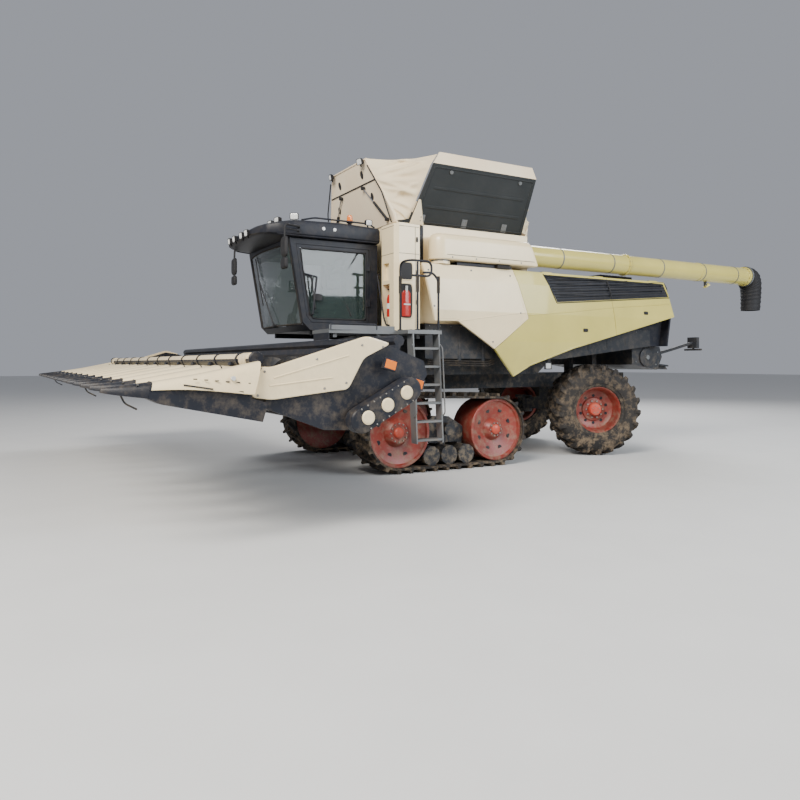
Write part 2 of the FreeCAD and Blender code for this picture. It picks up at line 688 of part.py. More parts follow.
PANEL_LEAN = 250
PANEL_H = 1080
PANEL_HALF_LOW = 1190
PANEL_HALF_TOP = 640


def tank_end_cover(front):
    """Folding end wall of the tank cover, leaning outward and narrower at its top edge."""
    hz = FLAP_HINGE_Z
    y0 = TANK_FRONT_Y + 10 if front else TANK_REAR_Y - 10
    out = -1 if front else 1
    sec = [(y0, hz), (y0 + out * FLAP_T, hz), (y0 + out * (PANEL_LEAN + FLAP_T), hz + PANEL_H),
           (y0 + out * PANEL_LEAN, hz + PANEL_H)]
    body = prism_x(sec if front else sec[::-1], -PANEL_HALF_LOW, PANEL_HALF_LOW)
    for s in (-1, 1):
        wedge = prism_y([(s * (PANEL_HALF_LOW + 5), hz + 120), (s * (PANEL_HALF_TOP), hz + PANEL_H + 5),
                         (s * (PANEL_HALF_LOW + 5), hz + PANEL_H + 5)], y0 - 400, y0 + 400)
        body = body.cut(wedge)
    pin = bar((-PANEL_HALF_LOW, y0 + out * 8, hz), (PANEL_HALF_LOW, y0 + out * 8, hz), PIN_R, PIN_SIDES)
    return fuse([body, pin])


CANVAS_T = 12


def tank_canvas(front):
    """Four-sided gusset from an end wall's slanted edge to the side cover's edge."""
    hz = FLAP_HINGE_Z
    y0 = TANK_FRONT_Y + 10 if front else TANK_REAR_Y - 10
    out = -1 if front else 1
    gap = 16
    lean = PANEL_LEAN * (PANEL_H - 20) / PANEL_H
    flap_y = (-430 if front else 1745)
    a = V(PANEL_HALF_LOW + gap, y0 + out * 30, hz + 125)
    b = V(PANEL_HALF_TOP + gap, y0 + out * (lean + 12), hz + PANEL_H - 10)
    c = V(FLAP_LIP[0] - gap - 30, (-75 if front else 1775), FLAP_LIP[1] - 12)
    d = V(FLAP_TOP[0] - gap - 25, (-262 if front else 1775), FLAP_TOP[1] - 20)
    e = V(FLAP_HINGE_X - gap, flap_y - 20 if front else 1775, hz + 60)
    down = V(0, -out * CANVAS_T, -CANVAS_T)
    pieces = []
    for p, q, r in ((a, b, c), (a, c, d), (a, d, e)):
        pieces.append(flat_solid([[p, q, r], [p + down, q + down, r + down]]))
    return fuse(pieces)


# Unloading auger along the left side, swinging on its turret
COVER_END_Y = 1800
COVER_ROUND = 70


def auger_cover():
    """Moulded housing over the elbow: rounded front about the pivot, bevelled upper edges."""
    z0, z1 = AUGER_Z - COVER_R, AUGER_Z + COVER_R
    r = COVER_R - 15

    def plan(z, inset):
        q = r - inset
        turns = [math.pi + math.pi * k / 6 for k in range(7)]
        front = [V(AUGER_X + q * math.cos(a), AUGER_PIVOT_Y + q * math.sin(a), z) for a in turns]
        return front + [V(AUGER_X + q, COVER_END_Y - inset, z), V(AUGER_X - q, COVER_END_Y - inset, z)]
    body = flat_solid([plan(z0, 0), plan(z1 - COVER_ROUND, 0), plan(z1 - COVER_ROUND * 0.3, COVER_ROUND * 0.3),
                       plan(z1, COVER_ROUND)])
    foot = bar((AUGER_X, AUGER_PIVOT_Y, z0 - 11), (AUGER_X, AUGER_PIVOT_Y, z0 + 5), 140, 12)
    return fuse([body, foot]).cut(pin_y(COVER_END_Y - 200, COVER_END_Y + 10, AUGER_X, AUGER_Z, AUGER_R + SEAT_GAP,
                                       AUGER_SIDES))


SPOUT_SIDES = 12
SPOUT = [(SEAT_GAP, 0, 0, AUGER_R + 25), (170, -55, 40, 225), (235, -330, 78, 200), (215, -700, 90, 185)]
SPOUT_T = 22


def auger_tube():
    tube = pin_y(COVER_END_Y - 200 + SEAT_GAP, AUGER_END_Y, AUGER_X, AUGER_Z, AUGER_R, AUGER_SIDES)
    rings = [bar((AUGER_X, y, AUGER_Z), (AUGER_X, y + 40, AUGER_Z), AUGER_R + 20, AUGER_SIDES)
             for y in (3990, AUGER_END_Y - 60)]
    lamp = box(AUGER_X - 60, AUGER_X + 60, 6280, 6340, AUGER_Z - AUGER_R - 130, AUGER_Z - AUGER_R + 10)
    return fuse([tube] + rings + [lamp])


def auger_spout():
    """Flexible discharge boot, curved down at the tube's end and open below."""
    def ring(y, z, ang, r):
        a = math.radians(ang)
        up = V(0, math.sin(a), math.cos(a))
        side = V(1, 0, 0)
        turns = [2 * math.pi * (k + 0.5) / SPOUT_SIDES for k in range(SPOUT_SIDES)]
        return [V(AUGER_X, AUGER_END_Y + y, AUGER_Z + z) + side * (r * math.cos(t)) + up * (r * math.sin(t))
                for t in turns]
    outer = flat_solid([ring(*s) for s in SPOUT])
    inner = flat_solid([ring(y, z - (k == 3) * 5, a, r - SPOUT_T)
                        for k, (y, z, a, r) in enumerate(SPOUT)][1:])
    return outer.cut(inner)


# Cab: side outline (Y, Z) of the cell, raked forward towards the roof
CAB_SIDE = [(CAB_REAR_Y, CAB_FLOOR_Z), (-1980, CAB_FLOOR_Z), (-2090, 2230), (-2300, CAB_TOP_Z),
            (CAB_REAR_Y, CAB_TOP_Z)]
DOOR_CUT = [(-1000, 2230), (-1960, 2230), (-2040, 2330), (-2205, 3380), (-1000, 3380)]
GLASS_T = 8
PILLAR = 75


def inset_poly(points, d):
    """Inner outline at distance d from a convex outline."""
    wire = Part.makePolygon([V(0, y, z) for y, z in points + [points[0]]])
    inner = Part.Face(wire).makeOffset2D(-d, join=2)
    return [(v.Point.y, v.Point.z) for v in inner.Wires[0].OrderedVertexes]


def cab_frame():
    cell = prism_x(CAB_SIDE, -CAB_X, CAB_X)
    cell = cell.cut(prism_x(inset_poly(CAB_SIDE, CAB_T), -CAB_X + CAB_T, CAB_X - CAB_T))
    cell = cell.cut(prism_x(DOOR_CUT, -CAB_X - 1, CAB_X + 1))
    front = prism_x([(-1975, 2200), (-2500, 2200), (-2500, 3385), (-2190, 3385)], -CAB_X + PILLAR, CAB_X - PILLAR)
    rear = box(-600, 600, CAB_REAR_Y - CAB_T - 5, CAB_REAR_Y + 5, 2750, 3350)
    return cell.cut(front).cut(rear)


def cab_glass():
    """Bowed windscreen, right side pane and rear pane, seated in the cell's openings."""
    bow = 90
    lo, hi = [], []
    for group, y, z in ((lo, -2083, 2204), (hi, -2283, 3381)):
        x = CAB_X - PILLAR - SEAT_GAP
        for yy in (y, y + GLASS_T):
            group.append((V(-x, yy, z), V(0, yy - bow, z), V(x, yy, z)))

    def section(rows):
        (a, b, c), (d, e, f) = rows
        return Part.Wire([Part.Arc(a, b, c).toShape(), Part.LineSegment(c, f).toShape(),
                          Part.Arc(f, e, d).toShape(), Part.LineSegment(d, a).toShape()])
    screen = Part.makeLoft([section(lo), section(hi)], True, True)
    pane = inset_poly(DOOR_CUT, SEAT_GAP)
    side = prism_x(pane, -CAB_X + 20, -CAB_X + 20 + GLASS_T)
    rear = box(-600 + SEAT_GAP, 600 - SEAT_GAP, CAB_REAR_Y - 40, CAB_REAR_Y - 40 + GLASS_T, 2750 + SEAT_GAP,
               3350 - SEAT_GAP)
    return [screen, side, rear]


DOOR_GAP = 6


def cab_door():
    """Glazed door on the left side: a slim frame with a grab bar, hinged at its rear edge."""
    leaf = inset_poly(DOOR_CUT, DOOR_GAP)
    frame = prism_x(leaf, CAB_X - 45, CAB_X - 5)
    frame = frame.cut(prism_x(inset_poly(leaf, 45), CAB_X - 60, CAB_X + 20))
    grab = rail([(CAB_X - 5, -1960, 2330), (CAB_X + 55, -1960, 2360), (CAB_X + 55, -1900, 2900),
                 (CAB_X - 5, -2080, 2950)], 14)
    hinges = []
    for z in (2500, 3050):
        hinges.append(bar((DOOR_HINGE_X, DOOR_HINGE_Y, z), (DOOR_HINGE_X, DOOR_HINGE_Y, z + 100), 12, PIN_SIDES))
        hinges.append(box(CAB_X + 1, CAB_X + 18, DOOR_HINGE_Y - 57, DOOR_HINGE_Y, z, z + 100))
        hinges.append(box(CAB_X - 10, CAB_X + 2, DOOR_HINGE_Y - 57, DOOR_HINGE_Y - 9, z, z + 100))
    return fuse([frame, grab] + hinges)


DOOR_HINGE_X = CAB_X + 12 + SEAT_GAP
DOOR_HINGE_Y = -1003


def cab_door_glass():
    return prism_x(inset_poly(DOOR_CUT, DOOR_GAP + 45.6), CAB_X - 28, CAB_X - 28 + GLASS_T)


def cab_roof():
    """Roof cap with a deep visor; its plan tapers towards the front corners."""
    side = [(-840, CAB_TOP_Z + SEAT_GAP), (-2260, CAB_TOP_Z + SEAT_GAP), (-2680, 3500), (-2760, 3560), (-2690, 3640),
            (-2300, 3735), (-1500, 3765), (-840, 3740)]
    cap = prism_x(side, -ROOF_X, ROOF_X)
    plan = prism_z([(-ROOF_X, -800), (-ROOF_X, -2250), (-ROOF_X + 130, -2620), (-500, -2761), (500, -2761),
                    (ROOF_X - 130, -2620), (ROOF_X, -2250), (ROOF_X, -800)], 3400, 3900)
    return cap.common(plan)


def roof_lamps():
    """Work lamps along the visor and on top, and two beacons."""
    lamps = []
    for x in (-430, -180, 180, 430):
        lamps.append(bar((x, -2800, 3560), (x, -2760 - SEAT_GAP, 3560), 55, 10))
    for x in (-880, 880):
        lamps.append(fuse([bar((x, -1300, 3758.7), (x, -1300, 3795), 24),
                           bar((x, -1300, 3790), (x, -1300, 3900), 48, 10)]))
    for x in (-560, -250, 250, 560):
        lamps.append(box(x - 75, x + 75, -2360, -2290, 3735.8, 3810))
    return lamps


SEAT_Z = 2560


def cab_seat():
    """Operator's seat: cushion and backrest in one soft form."""
    side = [(-1130, SEAT_Z), (-1600, SEAT_Z + 40), (-1640, 2680), (-1590, 2720), (-1240, 2690), (-1130, 3200), (-1080, 3270),
            (-1010, 3240), (-1030, 2620)]
    return prism_x(side, -250, 250)


def cab_console():
    """Seat pedestal, armrest with terminal on the right, steering column and wheel, floor pedals."""
    floor = CAB_FLOOR_Z + CAB_T + SEAT_GAP
    base = prism_x([(-1080, floor), (-1520, floor), (-1480, SEAT_Z + 350 * 40 / 470 - SEAT_GAP),
                    (-1130, SEAT_Z - SEAT_GAP)], -200, 200)
    arm = box(-400, -270, -1620, -1150, 2740, 2810)
    post = box(-360, -300, -1400, -1300, floor, 2741)
    screen = box(-420, -390, -1800, -1560, 2800, 3000)
    screen_arm = box(-405, -395, -1640, -1590, 2780, 2830)
    column = bar((0, -1900, floor), (0, -1760, 2808), 45).cut(box(-90, 90, -2000, -1800, floor - 60, floor))
    n = V(0, -140, 620).normalize()
    hub = V(0, -1760, 2800)
    lo, hi = hub + n * 4, hub + n * 30
    ring = bar(lo, hi, 205, 16).cut(bar(hub - n * 4, hub + n * 40, 175, 16))
    spoke = bar(hub + n * 10, hub + n * 24, 180, 16).common(box(-200, 200, -1800, -1730, 2600, 3000))
    return [fuse([base]), fuse([arm, post, screen, screen_arm]), fuse([column, ring, spoke])]


def mirrors():
    out = []
    for s in (-1, 1):
        arm = rail([(s * (ROOF_X + SEAT_GAP), -2200, 3600), (s * (ROOF_X + 60), -2200, 3600),
                    (s * (ROOF_X + 180), -2480, 3600),
                    (s * (ROOF_X + 180), -2480, 2900)], 18)
        x0, x1 = sorted((s * (ROOF_X + 70), s * (ROOF_X + 290)))
        glass = box(x0, x1, -2520, -2450, 2960, 3420)
        glass = bevel_z(glass, 25)
        out.append(fuse([arm, glass]))
    return out


# Access on the left side: walkway, rails, ladder and the tower beside the cab
WALK_Z = 2110
WALK_X1 = 1930
TOWER = dict(x0=1000, x1=1500, y0=-840, y1=-420, top=3730)


def platform():
    floor = prism_z([(CAB_X + RUN_GAP, -1950), (1560, -1950), (1600, -880), (WALK_X1, -880), (WALK_X1, -300),
                     (CAB_X + RUN_GAP, -300)], WALK_Z - 55, WALK_Z)
    toe = [box(1560, 1580, -1950, -900, WALK_Z - 5, WALK_Z + 60)]
    brace = []
    for y in (-420, -1100, -1800):
        brace += [box(CAB_BEAM_X + SEAT_GAP, 1500, y - 60, y, WALK_Z - 110, WALK_Z - 54),
                  box(CAB_BEAM_X + SEAT_GAP, CAB_X + 20, y - 60, y, WALK_Z - 110, WALK_Z)]
    return fuse([floor] + toe + brace)


def handrails():
    """Looped rails at the head of the ladder."""
    r = 17
    head = rail([(1640, -840, WALK_Z + SEAT_GAP), (1640, -840, 3100), (1900, -840, 3120), (1900, -560, 3120),
                 (1900, -560, 2900), (1900, -760, 2900)], r)
    post = bar((1900, -700, 3120), (1900, -700, WALK_Z + SEAT_GAP), r)
    side = rail([(1900, -340, WALK_Z + SEAT_GAP), (1900, -340, 2800), (1900, -420, 2900), (1900, -560, 2950)], r)
    return fuse([head, post, side])


LADDER_X0 = 1760
LADDER_X1 = 1985


def ladder():
    """Steps between two rails, leaning out from the walkway's edge."""
    def rail_plate(y):
        return prism_y([(LADDER_X0, WALK_Z - 55 - SEAT_GAP), (WALK_X1, WALK_Z - 55 - SEAT_GAP), (LADDER_X1 + 60, 470), (LADDER_X1 - 90, 470),
                        ], y, y + 22)
    pieces = [rail_plate(y) for y in (-800, -360)]
    for k in range(6):
        z = 500 + k * 265
        t = (z - 470) / (WALK_Z - 526)
        x1 = LADDER_X1 + 60 + (WALK_X1 - LADDER_X1 - 60) * t
        x0 = LADDER_X1 - 90 + (LADDER_X0 - LADDER_X1 + 90) * t
        pieces.append(box(x0 + 4, x1 - 4, -790, -350, z, z + 32))
    return fuse(pieces)


def tower_panel():
    t = TOWER
    body = box(t["x0"], t["x1"], t["y0"], t["y1"], WALK_Z + SEAT_GAP, t["top"])
    body = body.cut(box(900, TANK_X + RUN_GAP, TANK_FRONT_Y - RUN_GAP, -300, 2000, 3900))
    body = bevel_z(body, 60, lambda x, y: y < -800)
    body = body.cut(box(1090, 1310, t["y0"] - 5, t["y0"] + 190, 2330, 2830))
    return body.cut(box(1110, 1290, t["y0"] - 5, t["y0"] + 60, 2890, 3150))


def fire_extinguisher():
    x, y = 1200, TOWER["y0"] + 98
    z = 2330 + SEAT_GAP
    return fuse([bar((x, y, z), (x, y, z + 360), 75, 12), bar((x, y, z + 350), (x, y, z + 440), 26),
                 box(x - 20, x + 20, y - 70, y + 20, z + 400, z + 430)])


# Header and feeder, drawn in the working position and then raised about the feeder's pivot
RAISE_DEG = 16.4
EYE = (-1850, 515)
EYE_PLAY = 17
SNOUT_XS = [(k - ROWS / 2) * ROW_PITCH for k in range(ROWS + 1)]
ROW_XS = [x + ROW_PITCH / 2 for x in SNOUT_XS[:-1]]


def raised(shape):
    out = shape.copy()
    out.rotate(V(0, LIFT_Y, LIFT_Z), V(1, 0, 0), -RAISE_DEG)
    return out


def raise_point(y, z):
    """Place of a working-position point when the header is raised as shown."""
    a = math.radians(-RAISE_DEG)
    dy, dz = y - LIFT_Y, z - LIFT_Z
    return LIFT_Y + dy * math.cos(a) - dz * math.sin(a), LIFT_Z + dy * math.sin(a) + dz * math.cos(a)


FEEDER_SIDE = [(-560, 2115), (-2380, 1120), (-2380, 440), (-1500, 700), (-620, 1560), (-420, 1760)]


def feeder_house():
    """Sloping conveyor housing, open at both ends, on its pivot shaft, with the lift eyes below."""
    t = 30
    body = prism_x(FEEDER_SIDE, -FEEDER_X, FEEDER_X)
    room = prism_x([(-600, 2060), (-2390, 1080), (-2390, 480), (-1520, 745), (-660, 1600), (-410, 1790)],
                   -FEEDER_X + t, FEEDER_X - t)
    body = body.cut(room).cut(box(-FEEDER_X + t, FEEDER_X - t, -500, -300, 1500, 2000))
    pieces = [body, pin_x(-FEEDER_X - 60, FEEDER_X + 60, LIFT_Y, LIFT_Z, PIVOT_R)]
    pieces.append(box(-FEEDER_X - 25, FEEDER_X + 25, -2378, -2310, 420, 500))
    for x in (-CYL_X, CYL_X):
        for ear in (-1, 1):
            x0 = x + ear * (ROD_EYE_W / 2 + 10 + SEAT_GAP) - 10
            pieces.append(prism_x([(EYE[0] - 150, 620), (EYE[0] - 40, EYE[1] - 50), (EYE[0] + 40, EYE[1] - 50),
                                   (EYE[0] + 260, 690), (EYE[0] + 260, 700), (EYE[0] - 150, 640)], x0, x0 + 20))
        pieces.append(pin_x(x - ROD_EYE_W / 2 - 24, x + ROD_EYE_W / 2 + 24, EYE[0], EYE[1], CYL_PIN_R))
    return raised(fuse(pieces))


ROD_EYE_W = 84
EYE_Y, EYE_Z = raise_point(*EYE)
CYL_REACH = math.hypot(EYE_Y - BARREL_Y, EYE_Z - BARREL_Z)
CYL_ANGLE = math.degrees(math.atan2(EYE_Z - BARREL_Z, BARREL_Y - EYE_Y))
BARREL_LEN = 1180
ROD_IN = 610


def cylinder_frame(shape):
    """Lay a cylinder piece, drawn forward from the origin along -Y, on its pin and aim it at the eye."""
    shape.rotate(V(0, 0, 0), V(1, 0, 0), -CYL_ANGLE)
    shape.translate(V(0, BARREL_Y, BARREL_Z))
    return shape


def lift_barrels():
    out = []
    for x in (-CYL_X, CYL_X):
        tube = pin_y(-BARREL_LEN, -70, x, 0, CYL_R).cut(pin_y(-BARREL_LEN - 1, -220, x, 0, ROD_R + 3))
        eye = box(x - CYL_R + 15, x + CYL_R - 15, -75, 50, -50, 50)
        bore = pin_x(x - CYL_R, x + CYL_R, 0, 0, CYL_PIN_R + 1.7)
        out.append(cylinder_frame(fuse([tube, eye]).cut(bore)))
    return out


def lift_rods():
    out = []
    for x in (-CYL_X, CYL_X):
        rod = pin_y(-CYL_REACH + 53, -ROD_IN, x, 0, ROD_R)
        eye = pin_x(x - ROD_EYE_W / 2, x + ROD_EYE_W / 2, -CYL_REACH, 0, 64)
        bore = pin_x(x - ROD_EYE_W, x + ROD_EYE_W, -CYL_REACH, 0, CYL_PIN_R + EYE_PLAY)
        out.append(cylinder_frame(fuse([rod, eye]).cut(bore)))
    return out


TROUGH_Y = -2680
TROUGH_Z = 830
CROSS_R = 235
END_IN_X = HEAD_END_X - 90


def header_frame():
    """Back wall with the feeder opening, the trough under the cross auger, main beam and end plates."""
    x = END_IN_X
    wall = prism_x([(-2380 - SEAT_GAP, 430), (-2380 - SEAT_GAP, 1290), (-2440, 1290), (-2440, 1180), (-2410, 1100), (-2410, 560),
                    (-2470, 520), (-2900, 520), (-2935, 600), (-2960, 590), (-2915, 495), (-2470, 470)], -x, x)
    wall = wall.cut(box(-FEEDER_X + 35, FEEDER_X - 35, -2500, -2300, 560, 1075))
    beam = box(-x, x, -2900, -2740, 330, 496)
    top = bar((-x, -2412, 1300), (x, -2412, 1300), 60)
    ends = []
    for s in (-1, 1):
        x0, x1 = sorted((s * x, s * (x + 50)))
        ends.append(prism_x([(-3600, 300), (-2960, 250), (-2640, 330), (-2120, 760), (-2030, 1060), (-2110, 1180),
                             (-2560, 1215), (-2812, 1180), (-3600, 640)], x0, x1))
    return raised(fuse([wall, beam, top] + ends))


FLIGHT_PITCH = 780
FLIGHT_TURNS = 5
FLIGHT_SIDES = 10
TUBE_R = 105


def flight(hand):
    """One hand of the cross auger's flighting: a thin spiral sheet whose root is sunk in the tube."""
    rings = []
    steps = int(FLIGHT_TURNS * FLIGHT_SIDES)
    x0 = END_IN_X - 120
    for k in range(steps + 1):
        a = 2 * math.pi * k / FLIGHT_SIDES * hand
        x = hand * (x0 - FLIGHT_PITCH * k / FLIGHT_SIDES)
        root, rim_r = TUBE_R - 14, CROSS_R
        rings.append([V(x + dx, TROUGH_Y + r * math.cos(a), TROUGH_Z + r * math.sin(a))
                      for dx, r in ((-6, root), (-6, rim_r), (6, rim_r), (6, root))])
    return flat_solid(rings)


def header_auger():
    """Cross auger: a tube with flights of opposite hand that bring the crop to the middle."""
    x = END_IN_X - RUN_GAP
    pieces = [bar((-x, TROUGH_Y, TROUGH_Z), (x, TROUGH_Y, TROUGH_Z), TUBE_R, FLIGHT_SIDES),
              pin_x(-END_IN_X + SEAT_GAP, END_IN_X - SEAT_GAP, TROUGH_Y, TROUGH_Z, 60, 8)]
    for k in range(3):
        paddle = box(-260, 260, -6, 6, TUBE_R - 20, CROSS_R - 20)
        paddle.rotate(V(0, 0, 0), V(1, 0, 0), 120 * k)
        paddle.translate(V(0, TROUGH_Y, TROUGH_Z))
        pieces.append(paddle)
    core = fuse(pieces)
    for hand in (1, -1):
        core = core.fuse(flight(hand))
    return raised(core)


SLOPE = math.atan2(560 - 330, 3900 - 2960)


def row_line(y):
    """Height of the row units' deck at a place along the row."""
    return 330 + (y + 3900) * math.tan(SLOPE)


ROW_FRONT_Y = -3880
ROW_REAR_Y = -2965


def row_units():
    """Per row: two deck plates with the stalk gap between them, and the gearbox under their rear end."""
    out = []
    z0, z1 = row_line(ROW_FRONT_Y), row_line(ROW_REAR_Y)
    for x in ROW_XS:
        pieces = [box(x - 190, x + 190, -3080, -2900 - SEAT_GAP, 345, 490)]
        for s in (-1, 1):
            x0, x1 = sorted((x + s * 20, x + s * 190))
            plate = prism_x([(ROW_FRONT_Y, z0), (ROW_REAR_Y, z1), (ROW_REAR_Y, z1 - 12), (ROW_FRONT_Y, z0 - 12)], x0, x1)
            x0, x1 = sorted((x + s * 165, x + s * 190))
            rib = prism_x([(ROW_FRONT_Y + 60, z0 - 60), (ROW_FRONT_Y + 60, z0 + 8), (ROW_REAR_Y, z1 - 4),
                           (ROW_REAR_Y, z1 - 150)], x0, x1)
            pieces += [plate, rib]
        out.append(raised(fuse(pieces)))
    return out


ROLL_R = 48


def snapping_rolls():
    """Two knife rolls under each row's deck, pointed at the front."""
    out = []
    for x in ROW_XS:
        for s in (-1, 1):
            rx = x + s * 72
            z0, z1 = row_line(-3840) - 87, row_line(-3085) - 95
            rear, front = V(rx, -3092, z1), V(rx, -3800, z0)
            d = (front - rear).normalize()
            u, w = across(d)
            rings = []
            for c, r in ((rear, ROLL_R), (front, ROLL_R), (front + d * 150, 8)):
                rings.append([c + u * (r * math.cos(math.pi * k / 3)) + w * (r * math.sin(math.pi * k / 3))
                              for k in range(6)])
            out.append(raised(flat_solid(rings)))
    return out


CHAIN_LUGS = 2


def gathering_chains():
    """Chain loops with gathering lugs over the deck plates, one each side of every row."""
    out = []
    for x in ROW_XS:
        for s in (-1, 1):
            cx = x + s * 105
            y0, y1, r = -3800, -3080, 42
            outline = [(-s * r, y0)]
            pitch = (y1 - y0) / CHAIN_LUGS
            for k in range(CHAIN_LUGS):
                y = y0 + (k + 0.4) * pitch
                outline += [(-s * r, y), (-s * (r + 38), y + 26), (-s * r, y + 52)]
            outline += [(-s * r, y1), (0, y1 + r), (s * r, y1), (s * r, y0), (0, y0 - r)]
            face = poly_face([V(cx + a, b, 0) for a, b in outline])
            body = face.extrude(V(0, 0, 26))
            body.rotate(V(0, ROW_FRONT_Y, 0), V(1, 0, 0), math.degrees(SLOPE))
            body.translate(V(0, 0, row_line(ROW_FRONT_Y) + SEAT_GAP))
            out.append(raised(body))
    return out


HOOD_Y = -3916
NOSE_Y = HOOD_Y + (WORK_TIP_Y - HOOD_Y) * 684 / 1032
SNOUT_MID_Y = HOOD_Y + (WORK_TIP_Y - HOOD_Y) * 334 / 1032

# Divider sections in the working position: Y, lower Z, upper Z, half width
NOSE = [(WORK_TIP_Y, 70, 112, 22), (NOSE_Y, 120, 262, 125)]
SNOUT = [(NOSE_Y + SEAT_GAP, 120, 262, 125), (SNOUT_MID_Y, 200, 440, 215), (HOOD_Y, 300, 604, 275)]
HOOD = [(HOOD_Y + SEAT_GAP, 366, 604, 275), (-3500, 466, 700, 262), (-2975, 610, 830, 235)]
KEEL_HALF = ROW_PITCH / 2 - 190 - SEAT_GAP
SHOULDER = [(1, 0), (1, 0.42), (0.66, 0.86), (0, 1)]


def divider(rows, x):
    """Flat-faced loft of round-shouldered sections along a divider."""
    half = SHOULDER + [(-w, h) for w, h in SHOULDER[-2::-1]]
    return flat_solid([[V(x + w * a, y, lo + (hi - lo) * h) for a, h in half] for y, lo, hi, w in rows])


def snout_noses():
    return [raised(divider(NOSE, x)) for x in SNOUT_XS]


def snouts_inner():
    return [raised(divider(SNOUT, x)) for x in SNOUT_XS[1:-1]]


def row_hoods():
    """Hoods between the rows, each with a keel that stands on the row units' frame."""
    out = []
    for x in SNOUT_XS[1:-1]:
        hood = divider(HOOD, x)
        keel = prism_x([(-3860, 400), (-3000, 625), (-2962, 500), (-3700, 300)], x - KEEL_HALF, x + KEEL_HALF)
        out.append(raised(fuse([hood, keel])))
    end = SNOUT_XS[-1] - 142
    tube = [pin_x(-end, end, GUARD_Y, GUARD_Z, GUARD_R)]
    tube += [pin_x(x - 22, x + 22, GUARD_Y, GUARD_Z + 6, 70) for x in (-end, end)]
    return out + [raised(fuse(tube))]


# Cross tube that rides on the hoods
GUARD_Y = -3735
GUARD_Z = 710
GUARD_R = 62


END_SNOUT = [(NOSE_Y + SEAT_GAP, 190, 262, 125), (SNOUT_MID_Y, 290, 430, 160), (-3759 - SEAT_GAP, 380, 691, 178)]
END_PANEL = [(-3759, 640), (-3640, 668), (-2812, 1222), (-2537, 1230), (-2779, 1013), (-2856, 676), (-2962, 635),
             (-3560, 385), (-3759, 350)]


def snouts_end():
    """End dividers: cream cover on a dark keel that reaches back to the end plate."""
    return [raised(divider(END_SNOUT, s * SNOUT_XS[-1])) for s in (-1, 1)]


def end_keels():
    out = []
    for s in (-1, 1):
        x0, x1 = sorted((s * (SNOUT_XS[-1] - 150), s * (SNOUT_XS[-1] + 120)))
        front = NOSE_Y + SEAT_GAP
        keel = prism_x([(front, 120), (NOSE_Y + 120, 102), (-3600.3, 175), (-3600.3, 349.7), (-3759.3, 349.7),
                        (-3759.3, 379.7), (SNOUT_MID_Y, 289.7), (front, 189.7)], x0, x1)
        out.append(raised(keel))
    return out


def header_end_panels():
    out = []
    for s in (-1, 1):
        x0, x1 = sorted((s * (END_IN_X + 50 + SEAT_GAP), s * (END_IN_X + 50 + 45)))
        plate = prism_x(END_PANEL, x0, x1)
        x0, x1 = sorted((s * (END_IN_X - 60), s * (END_IN_X + 95)))
        shelf = prism_x([(-3759, 600), (-3640, 640), (-3602, 664), (-3602, 640), (-3759, 560)], x0, x1)
        out.append(raised(fuse([plate, shelf])))
    return out


CASE_A = (-2700, 420)
CASE_B = (-2280, 840)
CASE_R = 120


def header_drive_cases():
    """Slanted chain case at each end, with three round caps."""
    out = []
    dy, dz = CASE_B[0] - CASE_A[0], CASE_B[1] - CASE_A[1]
    n = math.hypot(dy, dz)
    ny, nz = -dz / n * CASE_R, dy / n * CASE_R
    for s in (-1, 1):
        x0, x1 = sorted((s * (END_IN_X + 96), s * (CASE_X - 12)))
        mid = prism_x([(CASE_A[0] + ny, CASE_A[1] + nz), (CASE_B[0] + ny, CASE_B[1] + nz),
                       (CASE_B[0] - ny, CASE_B[1] - nz), (CASE_A[0] - ny, CASE_A[1] - nz)], x0, x1)
        pieces = [mid] + [pin_x(x0, x1, y, z, CASE_R) for y, z in (CASE_A, CASE_B)]
        c0, c1 = sorted((s * (CASE_X - 14), s * CASE_X))
        for t in (0.1, 0.5, 0.9):
            y, z = CASE_A[0] + dy * t, CASE_A[1] + dz * t
            pieces.append(pin_x(c0, c1, y, z, 52, 10))
        b0, b1 = sorted((s * (END_IN_X + 50 + SEAT_GAP), s * (END_IN_X + 97)))
        pieces.append(bar((b0, -2480, 640), (b1, -2480, 640), 45))
        out.append(raised(fuse(pieces)))
    return out


# The origin lies midway between the noses' tips and the spout's rear
TIP_REACH_Y = raise_point(WORK_TIP_Y, NOSE[0][1])[0]
SPOUT_REACH_Y = max(v.Point.y for v in auger_spout().Vertexes)
ORIGIN_Y = (TIP_REACH_Y + SPOUT_REACH_Y) / 2


def save(name, shape):
    shape = Part.makeCompound(shape) if isinstance(shape, list) else shape
    shape = shape.copy()
    shape.translate(V(0, -ORIGIN_Y, 0))
    shape.exportStep("parts/%s.step" % name)


